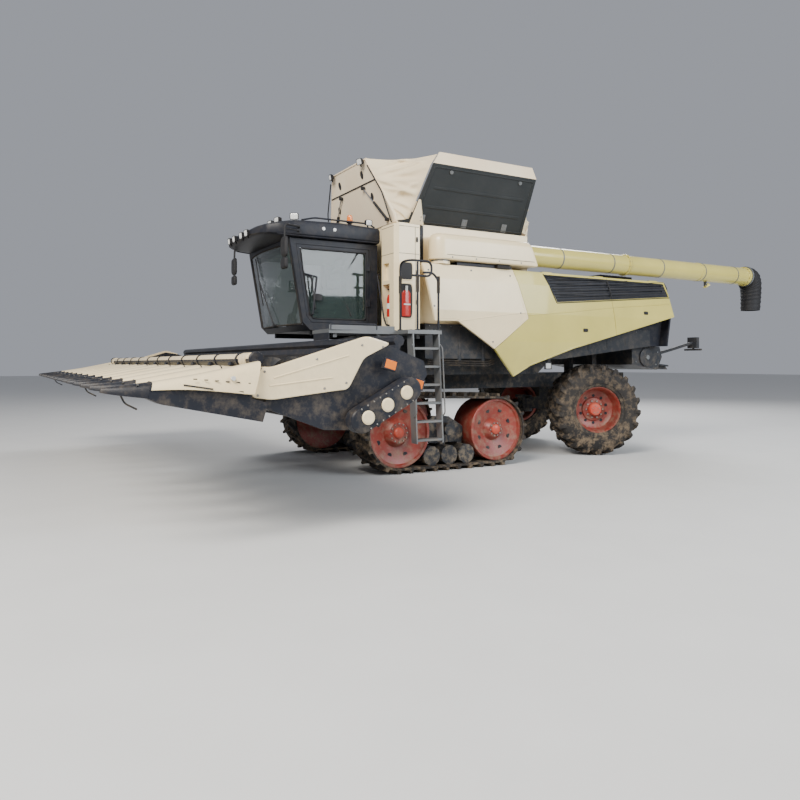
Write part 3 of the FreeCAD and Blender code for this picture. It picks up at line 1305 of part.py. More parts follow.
NODES = {
    "chassis_frame": chassis_frame, "separator_hull": separator_hull, "engine_block": engine_block,
    "rear_hood": rear_hood, "chopper": chopper, "rear_axle": rear_axle,
    "knuckle_L": lambda: knuckle(1), "knuckle_R": lambda: knuckle(-1), "rim_L": lambda: rim(1),
    "rim_R": lambda: rim(-1), "tyre_L": lambda: tyre(1), "tyre_R": lambda: tyre(-1),
    "track_belt_L": track_belt, "track_belt_R": lambda: mirrored(track_belt()),
    "track_frames": lambda: both(track_frame()), "track_wheels": lambda: track_wheels(1) + track_wheels(-1),
    "grain_tank": grain_tank, "tank_flap_L": tank_flap, "tank_flap_R": lambda: mirrored(tank_flap()),
    "tank_cover_front": lambda: tank_end_cover(True), "tank_cover_rear": lambda: tank_end_cover(False),
    "tank_canvas": lambda: both(tank_canvas(True)) + both(tank_canvas(False)),
    "side_panel_front_L": side_panel_front, "side_panel_front_R": lambda: mirrored(side_panel_front()),
    "side_panel_rear_L": side_panel_rear, "side_panel_rear_R": lambda: mirrored(side_panel_rear()),
    "side_grille_L": side_grille, "side_grille_R": lambda: mirrored(side_grille()),
    "auger_cover": auger_cover, "auger_tube": auger_tube,
    "auger_spout": auger_spout, "cab_frame": cab_frame, "cab_glass": cab_glass, "cab_door": cab_door,
    "cab_door_glass": cab_door_glass, "cab_roof": cab_roof, "roof_lamps": roof_lamps, "cab_seat": cab_seat,
    "cab_console": cab_console, "mirrors": mirrors, "platform": platform, "handrails": handrails,
    "ladder": ladder, "tower_panel": tower_panel, "fire_extinguisher": fire_extinguisher,
    "feeder_house": feeder_house, "lift_barrels": lift_barrels, "lift_rods": lift_rods,
    "header_frame": header_frame, "header_auger": header_auger, "row_units": row_units,
    "snapping_rolls": snapping_rolls, "gathering_chains": gathering_chains, "snout_noses": snout_noses,
    "snouts_inner": snouts_inner, "row_hoods": row_hoods,
    "snouts_end": lambda: snouts_end() + end_keels(), "header_end_panels": header_end_panels,
    "header_drive_cases": header_drive_cases,
}

if __name__ == "__main__":
    os.makedirs("parts", exist_ok=True)
    for node, make in NODES.items():
        save(node, make())
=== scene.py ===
import bpy, bmesh, math, random
from mathutils import Vector as V, Matrix


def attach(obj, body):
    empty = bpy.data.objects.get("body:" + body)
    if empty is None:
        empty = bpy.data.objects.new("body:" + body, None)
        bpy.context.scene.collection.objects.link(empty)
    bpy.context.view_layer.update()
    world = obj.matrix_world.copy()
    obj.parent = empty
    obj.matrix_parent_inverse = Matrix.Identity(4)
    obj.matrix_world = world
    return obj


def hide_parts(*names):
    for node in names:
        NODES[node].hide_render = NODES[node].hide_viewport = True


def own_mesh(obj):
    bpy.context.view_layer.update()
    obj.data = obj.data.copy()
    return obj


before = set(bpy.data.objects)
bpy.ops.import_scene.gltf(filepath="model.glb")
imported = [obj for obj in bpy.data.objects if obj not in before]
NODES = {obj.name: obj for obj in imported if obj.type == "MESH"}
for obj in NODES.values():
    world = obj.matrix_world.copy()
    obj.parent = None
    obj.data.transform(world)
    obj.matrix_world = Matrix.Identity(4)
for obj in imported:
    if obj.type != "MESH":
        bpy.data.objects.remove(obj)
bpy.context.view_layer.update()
random.seed(4)
OY = 1.32205  # the CAD's origin behind the middle of the tracks


def M(x, y, z):
    """A place measured from the middle of the tracks, in the row frame."""
    return V((x, y - OY, z))


# Materials: every one is built from nodes
def node(tree, kind, **values):
    """New shader node with its input values set."""
    n = tree.nodes.new("ShaderNode" + kind)
    for key, value in values.items():
        n.inputs[key.replace("_", " ")].default_value = value
    return n


def paint(name, base, second=None, rough=0.38, metal=0.0, grain=9.0, amount=0.35, bump=0.06, fine=90.0, dirt=0.25,
          dirt_color=(0.24, 0.19, 0.13), coat=0.0, shine=0.5):
    """Surface with mottled colour, dust that gathers low down, and a fine bump."""
    mat = bpy.data.materials.new(name)
    mat.use_nodes = True
    tree = mat.node_tree
    link = tree.links.new
    bsdf = tree.nodes["Principled BSDF"]
    place = node(tree, "TexCoord").outputs["Object"]
    big = node(tree, "TexNoise", Scale=grain / 6, Detail=6)
    ramp = node(tree, "ValToRGB")
    for stop, side, colour in zip(ramp.color_ramp.elements, (-0.5, 0.5), (base, second or [c * 0.86 for c in base])):
        stop.position = 0.5 + side * amount
        stop.color = (*colour, 1)
    split = node(tree, "SeparateXYZ")
    low = node(tree, "MapRange", From_Min=0.1, From_Max=2.0, To_Min=dirt * 2.4, To_Max=dirt * 0.35)
    spots = node(tree, "TexNoise", Scale=grain, Detail=9, Roughness=0.7)
    cut = node(tree, "MapRange", From_Min=0.46, From_Max=0.72)
    both = node(tree, "Math")
    both.operation = "MULTIPLY"
    both.use_clamp = True
    mix = node(tree, "Mix")
    mix.data_type = "RGBA"
    mix.inputs["B"].default_value = (*dirt_color, 1)
    gloss = node(tree, "MapRange", To_Min=rough, To_Max=min(1.0, rough + 0.3))
    tiny = node(tree, "TexNoise", Scale=fine, Detail=3)
    relief = node(tree, "Bump", Strength=bump, Distance=0.004)
    for target in (big.inputs["Vector"], split.inputs[0], spots.inputs["Vector"], tiny.inputs["Vector"]):
        link(place, target)
    link(big.outputs["Fac"], ramp.inputs["Fac"])
    link(split.outputs["Z"], low.inputs["Value"])
    link(spots.outputs["Fac"], cut.inputs["Value"])
    link(cut.outputs[0], both.inputs[0])
    link(low.outputs[0], both.inputs[1])
    link(both.outputs[0], mix.inputs["Factor"])
    link(ramp.outputs["Color"], mix.inputs["A"])
    link(mix.outputs["Result"], bsdf.inputs["Base Color"])
    link(both.outputs[0], gloss.inputs["Value"])
    link(gloss.outputs[0], bsdf.inputs["Roughness"])
    link(tiny.outputs["Fac"], relief.inputs["Height"])
    link(relief.outputs["Normal"], bsdf.inputs["Normal"])
    for key, value in (("Metallic", metal), ("Specular IOR Level", shine), ("Coat Weight", coat)):
        bsdf.inputs[key].default_value = value
    return mat


CREAM = paint("cream_paint", (0.88, 0.74, 0.47), (0.82, 0.67, 0.41), rough=0.30, dirt=0.16, coat=0.25)
# the cream paint darkened as it looks in shade on the tank's covers: painted shade
SHADED_CREAM = paint("tank_cream_shaded", (0.82, 0.66, 0.46), (0.86, 0.74, 0.54), rough=0.42, dirt=0.1)
GREEN = paint("olive_green_paint", (0.58, 0.50, 0.13), (0.51, 0.44, 0.11), rough=0.28, dirt=0.14, coat=0.3)
BLACK = paint("black_paint", (0.012, 0.014, 0.02), (0.02, 0.022, 0.03), rough=0.42, dirt=0.28, shine=0.22)
DARK = paint("dark_frame_paint", (0.02, 0.024, 0.03), (0.035, 0.036, 0.04), rough=0.5, dirt=0.5, shine=0.22)
GREY = paint("grey_steel_paint", (0.16, 0.17, 0.175), (0.11, 0.115, 0.12), rough=0.45, metal=0.3, dirt=0.4)
STEEL = paint("worn_steel", (0.42, 0.41, 0.39), (0.22, 0.2, 0.17), rough=0.32, metal=0.9, dirt=0.5, amount=0.6)
CHROME = paint("rod_chrome", (0.75, 0.75, 0.75), (0.68, 0.68, 0.68), rough=0.12, metal=1.0, dirt=0.05, bump=0.01)
RUBBER = paint("tyre_rubber", (0.016, 0.015, 0.015), (0.034, 0.03, 0.027), rough=0.72, bump=0.25, fine=160, dirt=0.75,
               dirt_color=(0.16, 0.12, 0.08), shine=0.22)
BOOT = paint("boot_rubber", (0.012, 0.012, 0.014), (0.02, 0.02, 0.022), rough=0.6, bump=0.15, dirt=0.1, shine=0.22)
RED = paint("rim_red_paint", (0.26, 0.035, 0.022), (0.18, 0.03, 0.022), rough=0.4, dirt=0.4)
REDHUB = paint("hub_red_paint", (0.5, 0.07, 0.035), (0.4, 0.05, 0.03), rough=0.38, dirt=0.2)
FLAP = paint("flap_grey_paint", (0.020, 0.023, 0.024), (0.030, 0.033, 0.034), rough=0.5, dirt=0.06, shine=0.22)
NOSE = paint("nose_black_poly", (0.010, 0.011, 0.016), (0.02, 0.022, 0.028), rough=0.36, dirt=0.25, bump=0.1,
             fine=200, shine=0.22)
PLASTIC = paint("soft_black_plastic", (0.018, 0.018, 0.02), (0.028, 0.028, 0.03), rough=0.55, bump=0.3, fine=260,
                dirt=0.05, shine=0.22)
CLOTH = paint("seat_cloth", (0.055, 0.055, 0.06), (0.035, 0.035, 0.04), rough=0.9, bump=0.7, fine=420, dirt=0.02)
FIRE = paint("extinguisher_red", (0.5, 0.02, 0.012), (0.42, 0.018, 0.012), rough=0.25, dirt=0.03, coat=0.4)
AMBER = paint("amber_lens", (0.85, 0.22, 0.02), (0.75, 0.17, 0.015), rough=0.18, dirt=0.02, coat=0.5)
LENS = paint("clear_lens", (0.75, 0.76, 0.74), (0.6, 0.61, 0.6), rough=0.12, dirt=0.03, coat=0.6)
REFLECT = paint("red_lens", (0.45, 0.02, 0.015), (0.35, 0.015, 0.01), rough=0.2, dirt=0.05, coat=0.5)
TANKIN = paint("tank_steel", (0.5, 0.47, 0.4), (0.42, 0.39, 0.33), rough=0.45, metal=0.3, dirt=0.05)


def weave(name, base, second, scale):
    """Coated cloth with crossed threads."""
    mat = paint(name, base, second, rough=0.75, bump=0.1, dirt=0.05, amount=0.7)
    tree = mat.node_tree
    link = tree.links.new
    normal = tree.nodes["Principled BSDF"].inputs["Normal"]
    place = node(tree, "TexCoord").outputs["Object"]
    threads = node(tree, "Math")
    for k, direction in enumerate("XZ"):
        wave = node(tree, "TexWave", Scale=scale)
        wave.bands_direction = direction
        link(place, wave.inputs["Vector"])
        link(wave.outputs["Fac"], threads.inputs[k])
    relief = node(tree, "Bump", Strength=0.25, Distance=0.003)
    link(threads.outputs[0], relief.inputs["Height"])
    link(normal.links[0].from_node.outputs["Normal"], relief.inputs["Normal"])
    link(relief.outputs["Normal"], normal)
    return mat


CANVAS = weave("tank_canvas", (0.84, 0.72, 0.50), (0.74, 0.61, 0.41), 60)


def pane(name, tint, alpha):
    """Tinted glass with a little dust."""
    mat = paint(name, tint, [c * 1.3 for c in tint], rough=0.03, bump=0.0, dirt=0.12,
                dirt_color=(0.2, 0.18, 0.14))
    bsdf = mat.node_tree.nodes["Principled BSDF"]
    bsdf.inputs["Alpha"].default_value = alpha
    bsdf.inputs["Coat Weight"].default_value = 1.0
    return mat


GLASS = pane("cab_glass", (0.03, 0.05, 0.045), 0.42)
MIRROR = paint("mirror_silver", (0.7, 0.72, 0.74), (0.66, 0.68, 0.7), rough=0.03, metal=1.0, dirt=0.0, bump=0.0)


# Mesh helpers
SIDES = ((1, "L"), (-1, "R"))
TAG = dict(SIDES)


def circle(count, start=0.0):
    """Angles evenly round a circle."""
    return [2 * math.pi * (k + start) / count for k in range(count)]


def about_x(a, r):
    """Offset of a radius at an angle about the X axis."""
    return V((0, r * math.cos(a), r * math.sin(a)))


def piece(name, verts, faces, mat, body, replaces=(), smooth=True):
    me = bpy.data.meshes.new(name)
    me.from_pydata([tuple(v) for v in verts], [], faces)
    me.validate()
    o = bpy.data.objects.new(name, me)
    bpy.context.scene.collection.objects.link(o)
    bm = bmesh.new()
    bm.from_mesh(me)
    bmesh.ops.recalc_face_normals(bm, faces=bm.faces)
    bm.to_mesh(me)
    bm.free()
    for m in (mat if isinstance(mat, list) else [mat]):
        me.materials.append(m)
    me.polygons.foreach_set("use_smooth", [smooth] * len(me.polygons))
    if body:
        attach(o, body)
    if replaces:
        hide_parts(*replaces)
    return o


class Build:
    """Collects several closed forms into one piece."""

    def __init__(self):
        self.v, self.f, self.m = [], [], []

    def add(self, verts, faces, mat=0):
        k = len(self.v)
        self.v += [V(p) for p in verts]
        self.f += [[i + k for i in f] for f in faces]
        self.m += [mat] * len(faces)

    def rings(self, rings, mat=0, closed=False, caps=True):
        n = len(rings[0])
        verts = [p for r in rings for p in r]
        faces = []
        pairs = list(zip(range(len(rings)), range(1, len(rings))))
        if closed:
            pairs.append((len(rings) - 1, 0))
        for a, b in pairs:
            for k in range(n):
                j = (k + 1) % n
                faces.append([a * n + k, a * n + j, b * n + j, b * n + k])
        if caps and not closed:
            faces += [list(range(n))[::-1], [(len(rings) - 1) * n + k for k in range(n)]]
        self.add(verts, faces, mat)

    def bar(self, a, b, r, sides=16, mat=0, r2=None):
        a, b = V(a), V(b)
        d = (b - a).normalized()
        u = d.orthogonal().normalized()
        w = d.cross(u)
        rings = [[c + (u * math.cos(t) + w * math.sin(t)) * rad for t in circle(sides)]
                 for c, rad in ((a, r), (b, r if r2 is None else r2))]
        self.rings(rings, mat)

    def tube(self, pts, r, sides=10, mat=0, bend=None, steps=5):
        """Tube along points with rounded bends."""
        pts = [V(p) for p in pts]
        bend = bend or r * 3.5
        path = [pts[0]]
        for a, b, c in zip(pts, pts[1:], pts[2:]):
            l1, l2 = (b - a).length, (c - b).length
            q = min(bend, l1 * 0.45, l2 * 0.45)
            p0, p2 = b + (a - b).normalized() * q, b + (c - b).normalized() * q
            for k in range(steps + 1):
                t = k / steps
                path.append(p0 * (1 - t) ** 2 + b * 2 * t * (1 - t) + p2 * t * t)
        path.append(pts[-1])
        up = (path[1] - path[0]).orthogonal().normalized()
        rings = []
        for k, p in enumerate(path):
            d = (path[min(k + 1, len(path) - 1)] - path[max(k - 1, 0)]).normalized()
            up = (up - d * up.dot(d)).normalized()
            w = d.cross(up)
            rings.append([p + (up * math.cos(t) + w * math.sin(t)) * r for t in circle(sides)])
        self.rings(rings, mat)

    def box(self, lo, hi, mat=0):
        (a, b, c), (d, e, f) = lo, hi
        verts = [(x, y, z) for z in (c, f) for x, y in ((a, b), (d, b), (d, e), (a, e))]
        self.add(verts, [[3, 2, 1, 0], [4, 5, 6, 7], [0, 1, 5, 4], [1, 2, 6, 5], [2, 3, 7, 6], [3, 0, 4, 7]], mat)

    def turn(self, profile, centre, axis=(1, 0, 0), sides=48, mat=0, closed=True):
        """Turn (along, radius) points about an axis."""
        ax = V(axis).normalized()
        u = ax.orthogonal().normalized()
        w = ax.cross(u)
        c = V(centre)
        n = len(profile)
        verts = [c + ax * o + (u * math.cos(t) + w * math.sin(t)) * r for t in circle(sides) for o, r in profile]
        faces = []
        for a in range(sides):
            b = (a + 1) % sides
            for k in range(n if closed else n - 1):
                j = (k + 1) % n
                faces.append([a * n + k, a * n + j, b * n + j, b * n + k])
        self.add(verts, faces, mat)

    def make(self, name, mats, body, replaces=(), bevel=0, smooth=30, subdiv=0, slot=None):
        o = piece(name, self.v, self.f, mats, body, replaces, True)
        if isinstance(mats, list):
            o.data.polygons.foreach_set("material_index", self.m)
        finish_edges(o, bevel, smooth, subdiv)
        return o


def finish_edges(o, bevel=0.0, smooth=30, subdiv=0, segments=2):
    """Rounded edges and shading that stays crisp past the angle."""
    if bevel:
        m = o.modifiers.new("edge", "BEVEL")
        m.width = bevel
        m.segments = segments
        m.limit_method = "ANGLE"
        m.angle_limit = math.radians(28)
        m.harden_normals = False
    if subdiv:
        m = o.modifiers.new("sub", "SUBSURF")
        m.levels = m.render_levels = subdiv
    me = o.data
    if smooth:
        me.polygons.foreach_set("use_smooth", [True] * len(me.polygons))
        m = o.modifiers.new("shade", "WEIGHTED_NORMAL")
        m.keep_sharp = True
        me.set_sharp_from_angle(angle=math.radians(smooth))


# CAD nodes whose shape is right: material, rounded edges
LOOKS = {
    "chassis_frame": (DARK, 6), "separator_hull": (DARK, 10), "engine_block": (GREY, 20), "rear_hood": (BLACK, 12),
    "chopper": (DARK, 8), "rear_axle": (DARK, 12), "knuckle_L": (DARK, 6), "knuckle_R": (DARK, 6),
    # tank covers in the shade-darkened cream: painted shade
    "track_frames": (DARK, 10), "tank_cover_front": (SHADED_CREAM, 6), "tank_cover_rear": (SHADED_CREAM, 6), "grain_tank": (CREAM, 8),
    "tank_flap_L": (FLAP, 5), "tank_flap_R": (FLAP, 5), "side_panel_front_L": (CREAM, 6),
    "side_panel_front_R": (CREAM, 6), "side_panel_rear_L": (GREEN, 6), "side_panel_rear_R": (GREEN, 6),
    "side_grille_L": (BLACK, 3), "side_grille_R": (BLACK, 3), "cab_frame": (BLACK, 12), "cab_glass": (GLASS, 0),
    "cab_door": (BLACK, 6), "cab_door_glass": (GLASS, 0), "platform": (GREY, 4), "ladder": (GREY, 4),
    "tower_panel": (CREAM, 14), "feeder_house": (BLACK, 10), "lift_barrels": (BLACK, 4), "lift_rods": (CHROME, 2),
    "header_frame": (BLACK, 8), "header_auger": (BLACK, 2), "row_units": (DARK, 4), "snapping_rolls": (STEEL, 3),
    "gathering_chains": (STEEL, 3), "header_drive_cases": (BLACK, 10), "header_end_panels": (CREAM, 8),
    "auger_cover": (CREAM, 30), "auger_tube": (GREEN, 4), "auger_spout": (BOOT, 6), "cab_roof": (BLACK, 40),
    "roof_lamps": (BLACK, 6), "cab_seat": (CLOTH, 20), "cab_console": (PLASTIC, 8), "mirrors": (PLASTIC, 12),
    "handrails": (BLACK, 3), "fire_extinguisher": (FIRE, 8), "snout_noses": (NOSE, 8), "snouts_inner": (CREAM, 12),
    "row_hoods": (CREAM, 10), "snouts_end": (CREAM, 14), "track_belt_L": (RUBBER, 4), "track_belt_R": (RUBBER, 4),
    "track_wheels": (RED, 4), "rim_L": (RED, 4), "rim_R": (RED, 4), "tyre_L": (RUBBER, 6), "tyre_R": (RUBBER, 6),
    "tank_canvas": (CANVAS, 0),
}
for name, (mat, width) in LOOKS.items():
    o = NODES[name]
    o.data.materials.clear()
    o.data.materials.append(mat)
    if width:
        m = o.modifiers.new("edge", "BEVEL")
        m.width = width / 1000
        m.segments = 2
        m.limit_method = "ANGLE"
        m.angle_limit = math.radians(32)


# Half tracks: belt loop with slanted lugs, and dished wheels
DRIVE, IDLER = (-0.87, 0.600), (0.90, 0.575)
TILT = math.atan2(IDLER[1] - DRIVE[1], IDLER[0] - DRIVE[0])
TOP = math.pi / 2 + 2 * TILT
IN_X, OUT_X = 1.100, 1.735  # edges of a belt
BELT = 0.0855  # lug tips to the wheels' running face


def track_line(steps=22):
    """Points round the loop: (y, z, outward angle) on the lug tips."""
    pts = []
    for rear, first in ((True, -math.pi / 2), (False, TOP)):
        sweep = TOP + math.pi / 2 if rear else 1.5 * math.pi - TOP
        for k in range(steps + 1):
            a = first + sweep * k / steps
            y, r = IDLER if rear else DRIVE
            pts.append((y + r * math.cos(a), r + r * math.sin(a), a))
    return pts


def along(pts, s):
    """Place after s of the closed line."""
    n = len(pts)
    for k in range(n * 2):
        a, b = pts[k % n], pts[(k + 1) % n]
        d = math.hypot(b[0] - a[0], b[1] - a[1])
        if s <= d and d > 1e-9:
            t = s / d
            da = (b[2] - a[2] + math.pi) % (2 * math.pi) - math.pi
            return a[0] + (b[0] - a[0]) * t, a[1] + (b[1] - a[1]) * t, a[2] + da * t
        s -= d
    return pts[0]


def belt(side):
    """Rubber belt with its outer lugs in two staggered rows."""
    b = Build()
    line = track_line()
    rings = []
    for y, z, a in line:
        n = (math.cos(a), math.sin(a))
        ring = []
        for x, off in ((IN_X, 0.053), (IN_X + 0.02, 0.05), (OUT_X - 0.02, 0.05), (OUT_X, 0.053), (OUT_X, 0.081),
                       (OUT_X - 0.012, 0.085), (IN_X + 0.012, 0.085), (IN_X, 0.081)):
            ring.append(M(side * x, y - n[0] * off, z - n[1] * off))
        rings.append(ring)
    b.rings(rings, closed=True)
    total = sum(math.hypot(q[0] - p[0], q[1] - p[1]) for p, q in zip(line, line[1:] + line[:1]))
    count = 34
    inset = 0.0006  # keeps the lug tips inside the solid's
    mid = (IN_X + OUT_X) / 2
    for k in range(count):
        for x0, x1, start in ((mid - 0.03, OUT_X, 0), (mid + 0.03, IN_X, 0.5)):
            s = (k + start) * total / count
            ends = []
            for t in (0, 0.34, 0.68, 1.0):
                y, z, a = along(line, (s + 0.105 * t ** 1.25) % total)
                n = (math.cos(a), math.sin(a))
                q = (-n[1], n[0])
                x = x0 + (x1 - x0) * t
                w0, w1 = (0.037, 0.024) if t < 1 else (0.034, 0.020)  # half widths at the root and the tip
                tip = 0.003 if t < 1 else 0.008
                ends.append([M(side * x, y + q[0] * c - n[0] * d, z + q[1] * c - n[1] * d)
                             for c, d in ((-w0, 0.056), (w0, 0.056), (w1, tip + inset), (w1 * 0.9, inset),
                                          (-w1 * 0.9, inset), (-w1, tip + inset))])
            b.rings(ends)
    return b


for side, tag in SIDES:
    belt(side).make("belt_" + tag, RUBBER, "chassis", ["track_belt_" + tag], smooth=35, slot="rubber")


def track_wheel(b, side, y, r, hub, bolts):
    """Dished wheel inside a belt, with its hub cap, bolts, and black discs that paint the shade of its lightening
    holes.
    """
    land = r - BELT
    mid = (IN_X + OUT_X) / 2
    w = 0.26
    c = M(side * mid, y, r)
    s = side
    b.turn([(-w * s, land - 0.045), (-w * s, land - 0.006), (-(w - 0.006) * s, land), ((w - 0.006) * s, land),
            (w * s, land - 0.006), (w * s, land - 0.04), ((w - 0.035) * s, land - 0.055),
            ((w - 0.105) * s, hub + 0.085), ((w - 0.11) * s, hub + 0.05), ((w - 0.05) * s, hub + 0.012),
            ((w - 0.03) * s, hub - 0.01), ((w - 0.03) * s, 0.079), (-(w - 0.06) * s, 0.079), (-(w - 0.06) * s, hub)],
           c, sides=72, mat=0)
    b.turn([((w - 0.032) * s, 0.082), ((w - 0.005) * s, 0.078), ((w + 0.012) * s, 0.06), ((w + 0.018) * s, 0.025),
            ((w + 0.018) * s, 0.001)], c, sides=32, mat=1, closed=False)
    for a in circle(bolts):
        p = c + about_x(a, hub - 0.028)
        b.bar(p + V(((w - 0.04) * s, 0, 0)), p + V(((w - 0.012) * s, 0, 0)), 0.012, 6, mat=2)
    hole_r = (land + hub) / 2 + 0.01
    slope = (hole_r - hub - 0.085) / max(0.01, (land - 0.055 - hub - 0.085))
    x = (w - 0.105) + slope * 0.07
    # lightening holes as black discs: painted shade
    for a in circle(8, 0.5):
        p = c + about_x(a, hole_r)
        b.bar(p + V(((x - 0.012) * s, 0, 0)), p + V(((x + 0.004) * s, 0, 0)), 0.036, 20, mat=3)


b = Build()
for side in (1, -1):
    track_wheel(b, side, *DRIVE, 0.165, 12)
    track_wheel(b, side, *IDLER, 0.130, 10)
b.make("track_wheel_set", [RED, REDHUB, STEEL, BLACK], "chassis", ["track_wheels"], smooth=35, slot="rim_red")

# Rear wheels: farm tyre with curved lugs, dished rim with nuts
STEER = math.radians(-24)
KINGPIN_X, TYRE_X, REAR_Y, TYRE_R = 0.900, 1.375, 3.505, 0.805


def steered_frame(side):
    """The turn about the king pin, and the wheel's middle before it."""
    pin = M(side * KINGPIN_X, REAR_Y, 0)
    rot = Matrix.Rotation(STEER, 4, "Z")
    return Matrix.Translation(pin) @ rot @ Matrix.Translation(-pin), M(side * TYRE_X, REAR_Y, TYRE_R)


def rear_tyre(side):
    """Farm tyre with curved lugs."""
    mat4, c = steered_frame(side)
    b = Build()
    prof = [(-0.31, 0.4006), (-0.335, 0.42), (-0.352, 0.50), (-0.355, 0.58), (-0.343, 0.655), (-0.315, 0.705),
            (-0.27, 0.735), (-0.16, 0.750), (0, 0.753), (0.16, 0.750), (0.27, 0.735), (0.315, 0.705),
            (0.343, 0.655), (0.355, 0.58), (0.352, 0.50), (0.335, 0.42), (0.31, 0.4006)]
    b.turn(prof, c, sides=96)
    # along, tip radius, root radius, angle and half width of each section of a lug
    lug = ((-0.02, TYRE_R - 0.0015, 0.748, 0, 0.026), (0.10, TYRE_R - 0.0012, 0.745, 0.10, 0.026),
           (0.22, TYRE_R - 0.004, 0.735, 0.19, 0.029), (0.315, TYRE_R - 0.03, 0.70, 0.245, 0.031),
           (0.350, TYRE_R - 0.105, 0.64, 0.265, 0.031))
    count = 21
    for k in range(count):
        for hand, start in ((1, 0), (-1, 0.5)):
            a0 = 2 * math.pi * (k + start) / count
            ends = []
            for x, r_tip, r_root, turn, half in lug:
                n = about_x(a0 + turn, 1)
                q = V((0, -n.z, n.y))
                base = V((hand * x, 0, 0)) + c
                ends.append([base + n * r_root - q * (half + 0.012), base + n * r_root + q * (half + 0.012),
                             base + n * (r_tip - 0.003) + q * half, base + n * r_tip + q * (half - 0.004),
                             base + n * r_tip - q * (half - 0.004), base + n * (r_tip - 0.003) - q * half])
            b.rings(ends)
    # sidewall ribs
    for s in (1, -1):
        b.turn([(s * 0.350, 0.470), (s * 0.3565, 0.474), (s * 0.3565, 0.486), (s * 0.352, 0.490)], c, sides=96)
    b.v = [mat4 @ v for v in b.v]
    return b


def rear_rim(side):
    """Dished rim with its hub."""
    mat4, c = steered_frame(side)
    b = Build()
    s = side
    b.turn([(-0.31 * s, 0.36), (-0.312 * s, 0.412), (-0.300 * s, 0.414), (-0.292 * s, 0.3985), (0.292 * s, 0.3985),
            (0.300 * s, 0.414), (0.312 * s, 0.412), (0.314 * s, 0.398), (0.300 * s, 0.385), (0.270 * s, 0.372),
            (0.19 * s, 0.362), (0.10 * s, 0.345), (0.085 * s, 0.335), (0.055 * s, 0.27), (0.052 * s, 0.215),
            (0.075 * s, 0.200), (0.085 * s, 0.165), (0.10 * s, 0.13), (0.11 * s, 0.12), (0.11 * s, 0.002),
            (-0.012 * s, 0.002), (-0.012 * s, 0.058), (-0.028 * s, 0.058), (-0.028 * s, 0.17), (0.03 * s, 0.31),
            (-0.26 * s, 0.35)],
           c, sides=72, mat=0)
    b.turn([(0.10 * s, 0.118), (0.165 * s, 0.112), (0.185 * s, 0.095), (0.190 * s, 0.05), (0.190 * s, 0.001)], c,
           sides=40, mat=1, closed=False)
    for a in circle(10):  # nuts, and black discs between them that paint the shade of holes
        p = c + about_x(a, 0.150)
        b.bar(p + V((0.07 * s, 0, 0)), p + V((0.118 * s, 0, 0)), 0.014, 6, mat=2)
        p = c + about_x(a + 0.31, 0.243)
        b.bar(p + V((0.035 * s, 0, 0)), p + V((0.057 * s, 0, 0)), 0.026, 20, mat=3)
    for a in circle(5, 0.25):
        p = c + about_x(a, 0.06)
        b.bar(p + V((0.185 * s, 0, 0)), p + V((0.197 * s, 0, 0)), 0.010, 6, mat=2)
    b.v = [mat4 @ v for v in b.v]
    return b


for side, tag in SIDES:
    rear_tyre(side).make("rear_tyre_" + tag, RUBBER, "wheel_" + tag, ["tyre_" + tag], smooth=40, slot="rubber")
    rear_rim(side).make("rear_rim_" + tag, [RED, REDHUB, STEEL, BLACK], "wheel_" + tag, ["rim_" + tag], smooth=35,
                        slot="rim_red")


# Header: drawn in the working position and raised about the feeder's pivot
PIVOT = M(0, -0.55, 1.95)
RAISE_DEG = 16.4
RAISE = Matrix.Translation(PIVOT) @ Matrix.Rotation(math.radians(-RAISE_DEG), 4, "X") @ Matrix.Translation(-PIVOT)
PITCH = 0.762
SNOUT_X = [(k - 6) * PITCH for k in range(13)]
END_X = 4.572  # middle of the end dividers
PANEL_X = 4.6103  # inner face of the end panels


def up(b):
    """Raise a piece drawn in the working position."""
    b.v = [RAISE @ v for v in b.v]
    return b


def spread(rows, steps):
    """Smooth in-between sections of (y, low, high, half width) rows."""
    out = []
    for k in range(len(rows) - 1):
        p0, p1, p2, p3 = rows[max(k - 1, 0)], rows[k], rows[k + 1], rows[min(k + 2, len(rows) - 1)]
        for j in range(steps):
            t = j / steps
            out.append([0.5 * (2 * b + (c - a) * t + (2 * a - 5 * b + 4 * c - d) * t * t
                               + (3 * b - a - 3 * c + d) * t ** 3) for a, b, c, d in zip(p0, p1, p2, p3)])
    out.append(list(rows[-1]))
    return out


def shell_ring(x, y, lo, hi, w, n=22, lip=0.014):
    """Rounded section with a short flat skirt."""
    pts = []
    for k in range(n + 1):
        a = math.pi * k / n
        cx = math.copysign(abs(math.cos(a)) ** 0.72, math.cos(a))
        pts.append(M(x + w * cx, y, lo + (hi - lo) * (0.30 * (1 - abs(cx) ** 6) + 0.70 * math.sin(a) ** 0.95)
                     if 0 < k < n else lo + 0.02 * (hi - lo)))
    pts.append(M(x - w + lip, y, lo))
    pts.append(M(x + w - lip, y, lo))
    return pts


def shell(b, rows, x, mat, steps=7):
    """Rounded cover through (y, low, high, half width) rows."""
    b.rings([shell_ring(x, *r) for r in spread(rows, steps)], mat)


def seam(b, rows, x, y, mat, grow=0.0035, width=0.012):
    """Thin raised band round a shell at a place along it."""
    r = min(spread(rows, 12), key=lambda r: abs(r[0] - y))
    b.rings([shell_ring(x, r[0] + d, r[1] - 0.001, r[2] + grow, r[3] + grow) for d in (-width / 2, width / 2)], mat)


